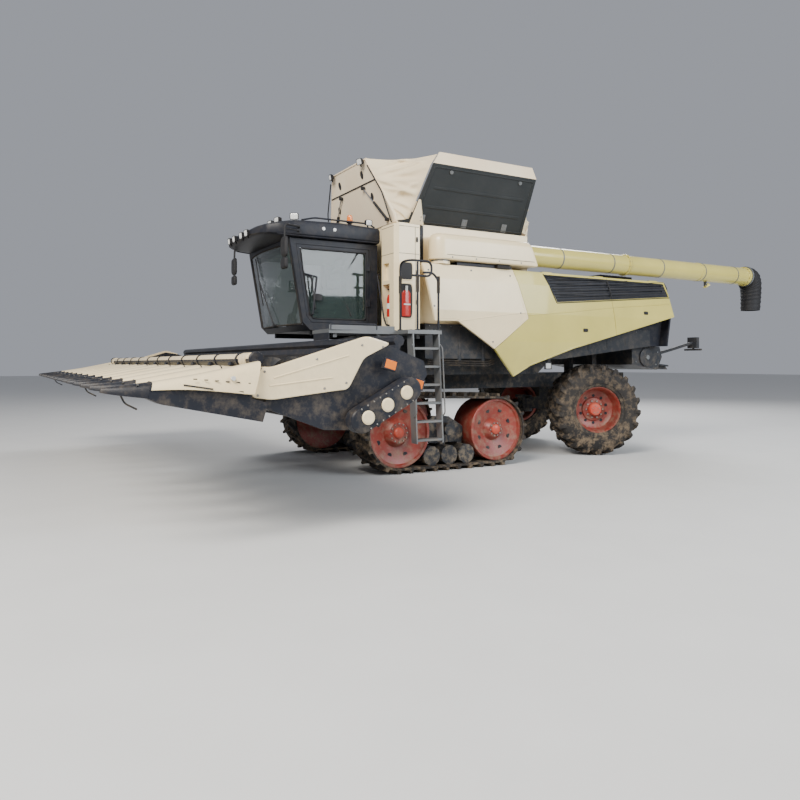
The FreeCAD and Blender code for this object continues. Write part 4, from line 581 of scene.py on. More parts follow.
NOSE_ROWS = [(-4.948, 0.078, 0.104, 0.014), (-4.935, 0.072, 0.116, 0.024), (-4.80, 0.088, 0.176, 0.072),
             (-4.600, 0.120, 0.262, 0.125)]
SNOUT_ROWS = [(-4.5997, 0.120, 0.262, 0.125), (-4.25, 0.200, 0.440, 0.215), (-3.916, 0.300, 0.604, 0.275)]
HOOD_ROWS = [(-3.9157, 0.366, 0.604, 0.275), (-3.50, 0.466, 0.700, 0.262), (-2.975, 0.610, 0.830, 0.235)]
END_ROWS = [(-4.5997, 0.190, 0.262, 0.125), (-4.25, 0.290, 0.430, 0.160), (-3.7593, 0.380, 0.691, 0.178)]
b = Build()
for x in SNOUT_X:
    shell(b, NOSE_ROWS, x, 0, 6)
    for s in (-1, 1):
        b.bar(M(x + s * 0.070, -4.70, 0.205), M(x + s * 0.078, -4.70, 0.212), 0.011, 8, mat=1)
up(b).make("nose_tips", [NOSE, STEEL], "header", ["snout_noses"], smooth=40, slot="nose_black")
b = Build()
for x in SNOUT_X[1:-1]:
    shell(b, SNOUT_ROWS, x, 0)
    seam(b, SNOUT_ROWS, x, -4.592, 1)
    for s in (-1, 1):
        # moulded rib along each flank and two fixing bolts
        rows = spread(SNOUT_ROWS, 5)
        rib = [[M(x + s * (r[3] * 0.86 + d), r[0], r[1] + (r[2] - r[1]) * h) for d, h in
                ((-0.012, 0.60), (0.006, 0.62), (0.006, 0.68), (-0.02, 0.72))] for r in rows[1:-1]]
        b.rings(rib, 0)
        for y in (-4.45, -4.02):
            _, lo, hi, half = min(rows, key=lambda q: abs(q[0] - y))
            z = lo + (hi - lo) * 0.42
            b.bar(M(x + s * half * 0.97, y, z), M(x + s * (half * 0.97 + 0.010), y, z), 0.012, 8, mat=2)
up(b).make("snout_covers", [CREAM, BLACK, STEEL], "header", ["snouts_inner"], smooth=40, slot="poly_cream")
b = Build()
for x in SNOUT_X[1:-1]:
    shell(b, HOOD_ROWS, x, 0)
    seam(b, HOOD_ROWS, x, -3.905, 1)
    foot = ((-3.86, 0.40), (-3.0, 0.62), (-2.962, 0.50), (-3.70, 0.30))
    b.add([M(x + s * 0.1907, y, z) for s in (-1, 1) for y, z in foot],
          [[0, 1, 2, 3], [7, 6, 5, 4], [0, 4, 5, 1], [1, 5, 6, 2], [2, 6, 7, 3], [3, 7, 4, 0]], 1)
    for s in (-1, 1):
        b.bar(M(x + s * 0.17, -3.20, 0.745), M(x + s * 0.178, -3.20, 0.752), 0.013, 8, mat=2)
    b.box(M(x - 0.05, -3.79, 0.640), M(x + 0.05, -3.68, 0.672), 1)
end = END_X - 0.142
TUBE_Y, TUBE_Z = -3.735, 0.71  # cross tube over the hoods, cream in front and dark behind
for m, a0, a1 in ((0, -0.12, math.pi + 0.12), (1, math.pi + 0.12, 2 * math.pi - 0.12)):
    arc = [a0 + (a1 - a0) * k / 14 for k in range(15)]
    b.rings([[M(x, TUBE_Y + 0.0605 * math.cos(a), TUBE_Z + 0.0605 * math.sin(a)) for a in arc] for x in (-end, end)], m)
for k in range(-5, 6):
    b.turn([(-0.022, 0.05), (-0.022, 0.069), (0.022, 0.069), (0.022, 0.05)], M(k * PITCH + 0.2, TUBE_Y, TUBE_Z),
           sides=28, mat=1)
for s in (-1, 1):
    b.turn([(-0.02, 0.001), (-0.02, 0.062), (-0.012, 0.070), (0.012, 0.070), (0.020, 0.062), (0.020, 0.03),
            (0.012, 0.001)], M(s * end, TUBE_Y, 0.716), sides=40, mat=1)
    b.turn([(-0.10, 0.05), (-0.10, 0.068), (0.10, 0.068), (0.10, 0.05)], M(s * (end - 0.22), TUBE_Y, TUBE_Z),
           sides=32, mat=0)
up(b).make("row_hood_set", [CREAM, BLACK, STEEL], "header", ["row_hoods"], smooth=40, slot="poly_cream")
b = Build()
for s in (-1, 1):
    x = s * END_X
    shell(b, END_ROWS, x, 0, 9)
    seam(b, END_ROWS, x, -4.592, 1)
    k0, k1 = sorted((x - s * 0.15, x + s * 0.12))
    keel = [(-4.5997, 0.120), (-4.48, 0.102), (-3.6003, 0.175), (-3.6003, 0.3497), (-3.7593, 0.3497), (-3.7593, 0.3797),
            (-4.25, 0.2897), (-4.5997, 0.1897)]
    b.rings([[M(xx, y, z) for y, z in keel] for xx in (k0, k1)], 1)
    # slot line along the cover's lower edge and its dashes
    for y0, y1, z0, z1 in ((-4.36, -4.12, 0.305, 0.335), (-4.06, -3.86, 0.352, 0.382)):
        b.bar(M(x + s * 0.150, y0, z0), M(x + s * 0.172, y1, z1), 0.006, 8, mat=1)
    for k in range(6):
        y = -4.30 + k * 0.09
        b.bar(M(x + s * 0.158, y, 0.372 + k * 0.018), M(x + s * 0.168, y + 0.03, 0.380 + k * 0.018), 0.005, 6, mat=1)
    b.bar(M(x + s * 0.155, -3.98, 0.47), M(x + s * 0.185, -3.98, 0.47), 0.020, 16, mat=2)
up(b).make("end_divider_set", [CREAM, BLACK, LENS], "header", ["snouts_end"], smooth=40, slot="poly_cream")


def rounded(points, r, steps=4):
    """Outline with rounded corners."""
    out = []
    n = len(points)
    for k in range(n):
        a, b_, c = V(points[k - 1]), V(points[k]), V(points[(k + 1) % n])
        q = min(r, (a - b_).length * 0.45, (c - b_).length * 0.45)
        p0, p2 = b_ + (a - b_).normalized() * q, b_ + (c - b_).normalized() * q
        for j in range(steps + 1):
            t = j / steps
            out.append(p0 * (1 - t) ** 2 + b_ * 2 * t * (1 - t) + p2 * t * t)
    return out


END_PANEL = [(-3.759, 0.640), (-3.640, 0.668), (-2.812, 1.222), (-2.537, 1.230), (-2.779, 1.013), (-2.856, 0.676),
             (-2.962, 0.635), (-3.560, 0.385), (-3.759, 0.350)]
b = Build()
for s in (-1, 1):
    line = rounded(END_PANEL, 0.05)
    c = V((-3.2, 0.72))
    rings = []
    for x, k in ((PANEL_X, 1), (4.640, 1), (4.652, 0.985), (4.655, 0.955)):
        rings.append([M(s * x, *(c + (p - c) * k)) for p in line])
    b.rings(rings, 0)
    # pressed swage line, bolts and the dark shelf behind the panel
    for (y0, z0), (y1, z1) in (((-3.62, 0.50), (-3.05, 0.74)), ((-3.60, 0.58), (-2.95, 0.985))):
        b.bar(M(s * 4.6545, y0, z0), M(s * 4.6545, y1, z1), 0.007, 8, mat=0)
    for y, z in ((-3.70, 0.61), (-3.70, 0.39), (-3.10, 0.62), (-2.90, 0.73), (-2.84, 1.12), (-2.62, 1.17),
                 (-3.25, 0.86)):
        b.bar(M(s * 4.652, y, z), M(s * 4.660, y, z), 0.012, 8, mat=2)
    lo, hi = sorted((s * 4.50, s * 4.654))
    b.box(M(lo, -3.758, 0.575), M(hi, -3.604, 0.632), 1)
up(b).make("end_panel_set", [CREAM, BLACK, STEEL], "header", ["header_end_panels"], bevel=0.004, smooth=30,
           slot="cream_paint")
b = Build()
A, B = V((-2.70, 0.42)), V((-2.28, 0.84))
d = (B - A).normalized()
nrm = V((-d.y, d.x))
for s in (-1, 1):
    line = []
    for c0, a0 in ((A, math.pi / 2), (B, -math.pi / 2)):
        for k in range(17):
            a = a0 + math.pi * k / 16
            line.append(c0 + d * (math.cos(a) * 0.12) + nrm * (math.sin(a) * 0.12))
    mid = (A + B) / 2
    rings = []
    for x, k in ((4.656, 0.9), (4.664, 1), (4.79, 1), (4.806, 0.95), (4.808, 0.80)):
        rings.append([M(s * x, *(mid + (p - mid) * k)) for p in line])
    b.rings(rings, 0)
    for t in (0.1, 0.5, 0.9):
        c = A + (B - A) * t
        b.turn([(-0.004 * s, 0.001), (-0.004 * s, 0.066), (0.004 * s, 0.068), (0.006 * s, 0.058), (0.012 * s, 0.054),
                (0.012 * s, 0.001)], M(s * 4.808, c.x, c.y), sides=36, mat=1, closed=False)
    for k in range(8):
        t = (k + 0.5) / 8
        for q in (-0.103, 0.103):
            p = A + (B - A) * t + nrm * q
            b.bar(M(s * 4.800, p.x, p.y), M(s * 4.812, p.x, p.y), 0.009, 6, mat=2)
    b.bar(M(s * PANEL_X, -2.48, 0.64), M(s * 4.658, -2.48, 0.64), 0.05, 24, mat=0)
    # amber side lamps on small plates, and a hose bracket
    for x, y, z in ((4.70, -2.52, 1.02), (4.66, -2.15, 0.93)):
        b.box(M(s * x - 0.02, y - 0.075, z - 0.055), M(s * x + 0.02, y + 0.075, z + 0.055), 0)
        xo = s * (x + 0.022)
        b.box(M(min(xo, xo - s * 0.012), y - 0.06, z - 0.042), M(max(xo, xo - s * 0.012), y + 0.06, z + 0.042), 3)
        lo, hi = sorted((s * 4.60, s * (x - 0.01)))
        b.box(M(lo, y - 0.02, z - 0.03), M(hi, y + 0.02, z + 0.03), 0)
up(b).make("drive_case_set", [BLACK, CREAM, STEEL, AMBER], "header", ["header_drive_cases"], bevel=0.003, smooth=35,
           slot="cream_paint")
# Cross auger with its two hands of flighting
b = Build()
TY, TZ = -2.68, 0.83
b.bar(M(-4.552, TY, TZ), M(4.552, TY, TZ), 0.104, 32)
b.bar(M(-4.5597, TY, TZ), M(4.5597, TY, TZ), 0.058, 20)
for hand in (1, -1):
    rings = []
    for k in range(5 * 26 + 1):  # five turns
        a = 2 * math.pi * k / 26 * hand
        x = hand * (4.44 - 0.78 * k / 26)
        rings.append([M(x + dx, TY + r * math.cos(a), TZ + r * math.sin(a)) for dx, r in
                      ((-0.005, 0.09), (-0.004, 0.233), (0.004, 0.233), (0.005, 0.09))])
    b.rings(rings, 1)
for a in circle(3):  # paddles where the two hands meet
    n = about_x(a, 1)
    q = V((0, -n.z, n.y))
    c = M(0, TY, TZ)
    blade = ((0.09, -0.006), (0.214, -0.006), (0.214, 0.006), (0.09, 0.006))
    b.rings([[c + V((x, 0, 0)) + n * r + q * t for r, t in blade] for x in (-0.26, 0.26)], 1)
up(b).make("cross_auger_piece", [BLACK, DARK], "cross_auger", ["header_auger"], smooth=40, slot="black_paint")
# Row sensing wires under three noses
b = Build()
for x in (-END_X, PITCH, 5 * PITCH):
    b.tube([M(x, -4.70, 0.12), M(x, -4.62, 0.03), M(x, -4.50, 0.005)], 0.009, 8)
up(b).make("row_feelers", [DARK], "header", smooth=40, slot="black_paint")


# Cab
CAB_X = 0.95
SCREEN = ((-2.083, 2.204), (-2.283, 3.381))  # windscreen foot and head (Y, Z)
DOOR_LINE = [(-1.06, 2.29), (-1.93, 2.29), (-1.985, 2.36), (-2.14, 3.32), (-1.06, 3.32)]


def oval(half, lo, hi, p=0.34, n=40):
    """Rounded box section: (across, up) points with corner power p."""
    mid, tall = (lo + hi) / 2, (hi - lo) / 2
    out = []
    for k in range(n):
        t = 2 * math.pi * k / n
        c, s = math.cos(t), math.sin(t)
        out.append((math.copysign(abs(c) ** p, c) * half, mid + math.copysign(abs(s) ** p, s) * tall))
    return out


def roof():
    """Soft-edged roof that narrows into the visor, with a drip rail and a rack tube along each edge."""
    b = Build()
    stations = [(-0.84, 1.0, 3.466, 3.728), (-0.87, 1.026, 3.461, 3.742), (-1.5, 1.03, 3.461, 3.766),
                (-2.25, 1.03, 3.461, 3.738), (-2.45, 0.982, 3.472, 3.702), (-2.62, 0.89, 3.492, 3.662),
                (-2.7, 0.77, 3.506, 3.638), (-2.745, 0.6, 3.524, 3.612), (-2.757, 0.5, 3.54, 3.594)]
    rings = []
    for (y0, w0, a0, c0), (y1, w1, a1, c1) in zip(stations, stations[1:]):
        for k in range(4):
            t = k / 4
            rings.append([M(x, y0 + (y1 - y0) * t, z) for x, z in
                          oval(w0 + (w1 - w0) * t, a0 + (a1 - a0) * t, c0 + (c1 - c0) * t, 0.3)])
    rings.append([M(x, stations[-1][0], z) for x, z in oval(*stations[-1][1:], 0.3)])
    b.rings(rings)
    for s in (-1, 1):  # drip rail and roof rack tube
        b.tube([M(s * 1.028, -0.9, 3.485), M(s * 1.034, -2.2, 3.485), M(s * 0.97, -2.5, 3.5)], 0.011, 8)
        b.tube([M(s * 0.93, -0.9, 3.735), M(s * 0.93, -1.0, 3.785), M(s * 0.93, -1.9, 3.79), M(s * 0.9, -2.1, 3.745)],
               0.013, 10)
    b.make("cab_roof_shell", BLACK, "chassis", ["cab_roof"], smooth=40)
    trim = Build()
    for x in (-0.8, -0.4, 0, 0.4, 0.8):  # pressed ribs on the roof skin
        trim.rings([[M(x + a, y, z + h) for a, h in ((-0.05, -0.006), (-0.03, 0.006), (0.03, 0.006), (0.05, -0.006))]
                    for y, z in ((-1.0, 3.747), (-1.5, 3.764), (-2.0, 3.752), (-2.2, 3.742))])
    trim.make("cab_roof_ribs", BLACK, "chassis", bevel=0.004)


def lamp_pod(b, at, face, size, glass=1):
    """Rectangular work lamp: housing, bezel, lens with flutes and a bracket foot."""
    w, h, d = size
    f = V(face).normalized()
    side = f.cross(V((0, 0, 1))).normalized()
    tall = side.cross(f)
    c = V(at)

    def ring(out, back, n=28):
        return [c - f * back + side * x + tall * z for x, z in oval(w / 2 * out, -h / 2 * out, h / 2 * out, 0.35, n)]
    b.rings([ring(0.6, d), ring(0.82, d * 0.85), ring(1, d * 0.3), ring(1, 0), ring(0.9, 0), ring(0.86, 0.006)], 0)
    b.rings([ring(0.86, 0.012), ring(0.86, 0.003), ring(0.6, -0.002)], glass)
    for k in (-2, -1, 0, 1, 2):
        o = c + side * (k * w * 0.13) + f * 0.001
        b.bar(o - tall * h * 0.3, o + tall * h * 0.3, 0.0035, 6, glass)
    b.bar(c - f * d * 0.5 - tall * h * 0.3, c - f * d * 0.5 - tall * (h * 0.5 + 0.03), 0.013, 8, 0)


def beacon(b, x, y, z):
    """Warning beacon: foot, rubber base and domed amber lens with rings."""
    b.turn([(-0.03, 0.0), (-0.03, 0.03), (0.01, 0.03), (0.012, 0.0)], M(x, y, z), (0, 0, 1), 24, 0, False)
    b.turn([(0.008, 0.0), (0.008, 0.05), (0.03, 0.054), (0.034, 0.048), (0.034, 0.0)], M(x, y, z), (0, 0, 1), 32, 2,
           False)
    dome = [(0.034, 0.0), (0.034, 0.046), (0.05, 0.048), (0.053, 0.044), (0.085, 0.045), (0.088, 0.041),
            (0.112, 0.039), (0.126, 0.026), (0.13, 0.0)]
    b.turn(dome, M(x, y, z), (0, 0, 1), 32, 3, False)


def roof_lights():
    """Work lamps on visor, roof and corners, side lights and beacons."""
    b = Build()
    for x in (-0.43, -0.18, 0.18, 0.43):
        lamp_pod(b, M(x, -2.8, 3.56), (x * 0.15, -1, -0.12), (0.13, 0.1, 0.07))
    for x in (-0.56, -0.25, 0.25, 0.56):
        lamp_pod(b, M(x, -2.37, 3.775), (x * 0.2, -1, -0.05), (0.15, 0.085, 0.075))
    for s in (-1, 1):
        lamp_pod(b, M(s * 0.86, -2.2, 3.795), (s * 0.9, -0.6, -0.05), (0.13, 0.1, 0.07))
        lamp_pod(b, M(s * 0.95, -1.0, 3.80), (s, 0.15, -0.1), (0.12, 0.09, 0.07))
        for y in (-1.62, -1.8):  # small round side lights in the roof's edge
            b.turn([(0.0, 0.0), (0.0, 0.026), (0.006, 0.024), (0.008, 0.0)], M(s * 1.031, y, 3.62), (s, 0, 0), 20, 1,
                   False)
        beacon(b, s * 0.88, -1.3, 3.77)
    b.make("roof_lamp_set", [PLASTIC, LENS, RUBBER, AMBER], "chassis", ["roof_lamps"], smooth=35)


def mirror_set():
    """A main and a wide-angle mirror on each side, on a bent arm with a stay."""
    b = Build()
    for s in (-1, 1):
        b.tube([M(s * 1.02, -2.2, 3.6), M(s * 1.1, -2.2, 3.6), M(s * 1.21, -2.47, 3.6), M(s * 1.21, -2.478, 3.4)],
               0.016, 12)
        b.tube([M(s * 1.02, -2.2, 3.54), M(s * 1.1, -2.21, 3.54), M(s * 1.19, -2.46, 3.54)], 0.011, 10)
        for lo, hi in ((3.13, 3.42), (2.96, 3.12)):  # main mirror above a wide-angle one
            mid, tall = (lo + hi) / 2, (hi - lo) / 2

            def ring(out, y):
                return [M(s * 1.21 + x, y, z) for x, z in oval(0.1 * out, mid - tall * out, mid + tall * out, 0.4, 32)]
            b.rings([ring(out, -2.485 - dy) for out, dy in
                     ((0.5, 0.03), (0.82, 0.022), (1, 0.0), (1, -0.018), (0.93, -0.026))], 0)
            b.rings([ring(0.9, y) for y in (-2.46, -2.4585)], 1)
        b.bar(M(s * 1.21, -2.48, 3.1), M(s * 1.21, -2.48, 3.15), 0.013, 10, 0)
    b.make("mirror_housings", [PLASTIC, MIRROR], "chassis", ["mirrors"], smooth=35)


def screen_point(u, v, off=0.0):
    """Place on the bowed windscreen: u across from -1 to 1, v up from 0 to 1."""
    (y0, z0), (y1, z1) = SCREEN
    bow = 0.09 * (1 - u * u)
    return M(u * 0.875, y0 + (y1 - y0) * v - bow - off, z0 + (z1 - z0) * v)


def cab_trim():
    """Rubber seals round the fixed panes, the wiper, and the cab's lining."""
    b = Build()
    top = [screen_point(u / 8, 0.995) for u in range(-8, 9)]
    low = [screen_point(u / 8, 0.005) for u in range(8, -9, -1)]
    b.tube([screen_point(0, 0.995)] + top[9:] + low + top[:9], 0.013, 8, bend=0.02, steps=2)
    line = [M(-CAB_X + 0.01, y, z)
            for y, z in ((-1.0, 2.24), (-1.955, 2.24), (-2.035, 2.335), (-2.195, 3.37), (-1.0, 3.37))]
    start = (line[-1] + line[0]) / 2
    b.tube([start] + line + [start], 0.012, 8, bend=0.06)
    pivot = screen_point(0.05, 0.01, 0.03)
    tip = screen_point(-0.42, 0.62, 0.035)
    b.tube([pivot, pivot + V((0, -0.03, 0.05)), tip], 0.010, 8, 1)
    d = V((0.0, SCREEN[1][0] - SCREEN[0][0], SCREEN[1][1] - SCREEN[0][1])).normalized()
    b.bar(tip - d * 0.38, tip + d * 0.38, 0.008, 8, 1)
    b.turn([(-0.03, 0.0), (-0.03, 0.028), (0.03, 0.024), (0.035, 0.0)], pivot, (0, 1, 0), 20, 1, False)
    b.make("window_seals", [RUBBER, PLASTIC], "chassis", smooth=40)
    inside = Build()  # headliner, blind roll, rear wall trim and side trim inside the cell
    inside.rings([[M(x, y, z) for x, z in oval(0.86, 3.34, 3.395, 0.3)] for y in (-0.95, -1.6, -2.2)])
    inside.bar(M(-0.8, -2.17, 3.33), M(0.8, -2.17, 3.33), 0.035, 16)
    inside.rings([[M(x, y, z) for x, z in oval(0.62, 2.3, 2.72, 0.25)] for y in (-0.925, -0.93, -0.96)])
    for s in (-1, 1):
        inside.rings([[M(s * (0.8 + a), y, z) for a, z in oval(0.07, 2.19, hi, 0.3, 24)]
                      for y, hi in ((-0.95, 2.62), (-1.3, 2.56))])
    inside.make("cab_lining", PLASTIC, "chassis", smooth=35)


def door_trim():
    """Seal of the door's pane, outer handle, bent inner rail and latch."""
    b = Build()
    line = [M(CAB_X - 0.006, y, z) for y, z in DOOR_LINE]
    start = (line[-1] + line[0]) / 2
    b.tube([start] + line + [start], 0.012, 8, bend=0.07)
    b.tube([M(0.955, -1.93, 2.42), M(1.0, -1.92, 2.44), M(1.0, -1.985, 2.9), M(0.955, -2.0, 2.92)], 0.012, 10)
    b.tube([M(0.93, -1.2, 3.3), M(0.9, -1.42, 2.95), M(0.9, -1.5, 2.75), M(0.93, -1.3, 2.35)], 0.014, 10, bend=0.12)
    b.rings([[M(x, -1.86 + a, z) for a, z in oval(0.06, 2.56, 2.66, 0.4, 24)] for x in (0.94, 0.972, 0.978)])
    b.make("door_trim", PLASTIC, "cab_door", smooth=40)


roof()
roof_lights()
mirror_set()
cab_trim()
door_trim()


# Cab interior
def fixed_mesh(o):
    """Replace an object's mesh by its evaluated shape and drop the modifiers."""
    deps = bpy.context.evaluated_depsgraph_get()
    me = bpy.data.meshes.new_from_object(o.evaluated_get(deps))
    o.modifiers.clear()
    o.data = me
    return o


def cushion(name, size, swell, place, tilt, channels):
    """Sewn cushion: a soft box swollen by cloth pressure, with grooves across it, then set on its seat."""
    w, d, h = size
    b = Build()
    b.rings([[V((x, y, z)) for x, y in oval(w / 2 * s, -d / 2 * s, d / 2 * s, 0.42, 48)]
             for z, s in ((-h / 2, 0.94), (-h / 2 + 0.02, 1), (h / 2 - 0.02, 1), (h / 2, 0.92))])
    o = piece(name, b.v, b.f, CLOTH, None)
    m = o.modifiers.new("grid", "REMESH")
    m.mode = "VOXEL"
    m.voxel_size = 0.014
    fixed_mesh(o)
    start = [v.co.copy() for v in o.data.vertices]
    c = o.modifiers.new("air", "CLOTH")
    c.settings.use_pressure = True
    c.settings.uniform_pressure_force = 4
    c.settings.effector_weights.gravity = 0
    c.settings.quality = 4
    c.point_cache.frame_start = 1
    c.point_cache.frame_end = 14
    for f in range(1, 15):
        bpy.context.scene.frame_set(f)
    fixed_mesh(o)
    bpy.context.scene.frame_set(1)
    for v, p in zip(o.data.vertices, start):
        move = v.co - p
        if p.z < -h / 2 + 0.015:
            move.z = 0
        if move.length > swell:
            move = move.normalized() * swell
        v.co = p + move
        if v.co.z > 0:
            for y in channels:
                v.co.z -= 0.012 * math.exp(-((v.co.y - y) / 0.012) ** 2)
    sub = o.modifiers.new("fine", "SUBSURF")
    sub.levels = sub.render_levels = 1
    fixed_mesh(o)
    turn = Matrix.Translation(M(*place)) @ Matrix.Rotation(math.radians(tilt), 4, "X")
    o.data.transform(turn)
    o.data.materials.clear()
    o.data.materials.append(CLOTH)
    o.data.polygons.foreach_set("use_smooth", [True] * len(o.data.polygons))
    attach(o, "chassis")
    edge = Build()  # piping along the upper seam
    line = [turn @ V((x, y, h / 2 - 0.012))
            for x, y in oval(w / 2 + swell * 0.5, -d / 2 - swell * 0.5, d / 2 + swell * 0.5, 0.42, 40)]
    edge.tube(line + line[:1], 0.005, 6, bend=0.01, steps=1)
    edge.make(name + "_piping", PLASTIC, "chassis")
    return o


def seat():
    """Sprung seat with its three cushions and left armrest."""
    pad = cushion("seat_cushion", (0.47, 0.44, 0.11), 0.016, (0, -1.39, 2.655), -4, (-0.09, 0.05))
    cushion("seat_back", (0.45, 0.50, 0.11), 0.016, (0, -1.12, 2.95), 80, (-0.12, 0.02, 0.14))
    cushion("seat_headrest", (0.25, 0.14, 0.09), 0.012, (0, -1.06, 3.29), 82, ())
    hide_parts("cab_seat")
    b = Build()
    b.rings([[M(x, y, z) for x, y in oval(0.2, -1.57, -1.17, 0.4)] for z in (2.575, 2.6)])
    b.rings([[M(x, y, z) for x, z in oval(0.21, 2.72 + (y + 1.12) * 0.1, 3.17, 0.3)] for y in (-1.075, -1.05)])
    for s in (-1, 1):
        b.bar(M(s * 0.06, -1.06, 3.15), M(s * 0.06, -1.05, 3.26), 0.008, 8)
        b.tube([M(s * 0.25, -1.13, 2.62), M(s * 0.27, -1.13, 2.8)], 0.014, 8)
    b.rings([[M(0.29 + x, y, z) for x, z in oval(0.035, 2.79, 2.84, 0.5, 20)] for y in (-1.5, -1.48, -1.14)])
    for z in (2.25, 2.31, 2.37, 2.43):  # bellows of the sprung pedestal
        b.rings([[M(x * s, -1.36 + y * s, z + dz) for x, y in oval(0.19, -0.17, 0.17, 0.4)]
                 for s, dz in ((0.9, 0), (1, 0.03), (0.9, 0.06))])
    b.rings([[M(x, -1.36 + y, z) for x, y in oval(0.21, -0.2, 0.2, 0.35)] for z in (2.181, 2.25)])
    b.rings([[M(x, -1.36 + y, z) for x, y in oval(0.2, -0.2, 0.2, 0.35)] for z in (2.49, 2.58)])
    b.make("seat_frame", PLASTIC, "chassis", smooth=40)


def controls():
    """Armrest with lever and keys, terminal, steering column and wheel, pedals."""
    b = Build()
    b.rings([[M(-0.335 + x, y, z) for x, z in oval(0.07, 2.745, 2.815, 0.35)] for y in (-1.63, -1.61, -1.17, -1.15)])
    b.rings([[M(-0.33 + x, -1.35 + y, z) for x, y in oval(0.035, -0.05, 0.05, 0.4)] for z in (2.19, 2.75)])
    b.tube([M(-0.335, -1.52, 2.81), M(-0.335, -1.53, 2.9)], 0.012, 10, 1)
    b.rings([[M(-0.335 + x, -1.535 + y, z) for x, y in oval(0.032 * s, -0.025 * s, 0.04 * s, 0.6)]
             for z, s in ((2.88, 0.5), (2.9, 1), (2.95, 1.1), (2.975, 0.5))])
    for i in range(3):
        for j in range(4):
            b.rings([[M(-0.365 + i * 0.03 + x, -1.43 + j * 0.035 + y, z) for x, y in oval(0.01, -0.01, 0.01, 0.4, 16)]
                     for z in (2.81, 2.822)], 2)
    b.tube([M(-0.4, -1.5, 2.78), M(-0.405, -1.63, 2.8), M(-0.405, -1.68, 2.88)], 0.014, 10)
    b.rings([[M(x, -1.68 + a, z) for a, z in oval(0.12 * s, 2.9 - 0.095 * s, 2.9 + 0.095 * s, 0.2)]
             for x, s in ((-0.425, 0.9), (-0.41, 1), (-0.392, 1), (-0.387, 0.95))])
    b.rings([[M(x, -1.68 + a, z) for a, z in oval(0.105, 2.82, 2.98, 0.15)] for x in (-0.3885, -0.3845)], 3)
    b.make("control_console", [PLASTIC, RUBBER, GREY, GLASS], "chassis", ["cab_console"], smooth=35)
    w = Build()
    hub = M(0, -1.76, 2.8)
    n = V((0, -0.14, 0.62)).normalized()
    w.tube([M(0, -1.92, 2.185), M(0, -1.86, 2.45), hub - n * 0.02], 0.04, 20)
    w.rings([[M(x, -1.9 + y, z) for x, y in oval(0.1 * s, -0.07 * s, 0.07 * s, 0.4)]
             for z, s in ((2.181, 1.1), (2.3, 0.9), (2.42, 0.6))])
    ring = [(0.018 + 0.013 * math.cos(t), 0.19 + 0.013 * math.sin(t)) for t in circle(12)]
    w.turn(ring, hub, n, 56, 1)
    w.turn([(0.0, 0.0), (0.0, 0.045), (0.026, 0.04), (0.032, 0.0)], hub, n, 32, 0, False)
    for k in range(3):
        t = 2 * math.pi * k / 3 + math.pi / 2
        u = V((1, 0, 0))
        d = u * math.cos(t) + n.cross(u) * math.sin(t)
        w.bar(hub + n * 0.016 + d * 0.03, hub + n * 0.018 + d * 0.185, 0.012, 10, 0, 0.009)
    w.tube([hub + n * -0.06, hub + V((0.13, 0.02, -0.03)), hub + V((0.16, 0.02, -0.02))], 0.007, 8)
    for x in (-0.16, 0.16):
        w.rings([[M(x + a, y + dy, z + dz) for a, dy, dz in
                  ((-0.04, 0, 0), (0.04, 0, 0), (0.04, 0.01, 0.012), (-0.04, 0.01, 0.012))]
                 for y, z in ((-1.93, 2.21), (-1.89, 2.32))])
    w.make("steering_wheel", [PLASTIC, RUBBER], "chassis", smooth=40)


seat()
controls()


# Grain tank covers, canvas and unloading auger
TANK_TOP = 3.814
FLAP_FOOT_X = 1.218
FLAP_TOP = (1.6, 4.675)
FLAP_LIP = (1.5, 4.88)
COVER_H = 1.08
COVER_LEAN = 0.25
COVER_LOW, COVER_TOP = 1.19, 0.64
FRONT_Y, COVER_REAR_Y = -0.63, 1.89


def flap_point(s, y, t, out=0.0):
    """Place on a side flap's outer face: y along the machine, t from its hinge to its top edge."""
    x = FLAP_FOOT_X + (FLAP_TOP[0] - FLAP_FOOT_X) * t
    z = TANK_TOP + (FLAP_TOP[1] - TANK_TOP) * t
    n = V((FLAP_TOP[1] - TANK_TOP, 0, FLAP_FOOT_X - FLAP_TOP[0])).normalized()
    p = M(x, y, z) + n * (0.028 + out)
    return V((s * p.x, p.y, p.z))


def flap_front(t):
    """Front edge of a side flap at t."""
    return -0.43 + 0.2 * t


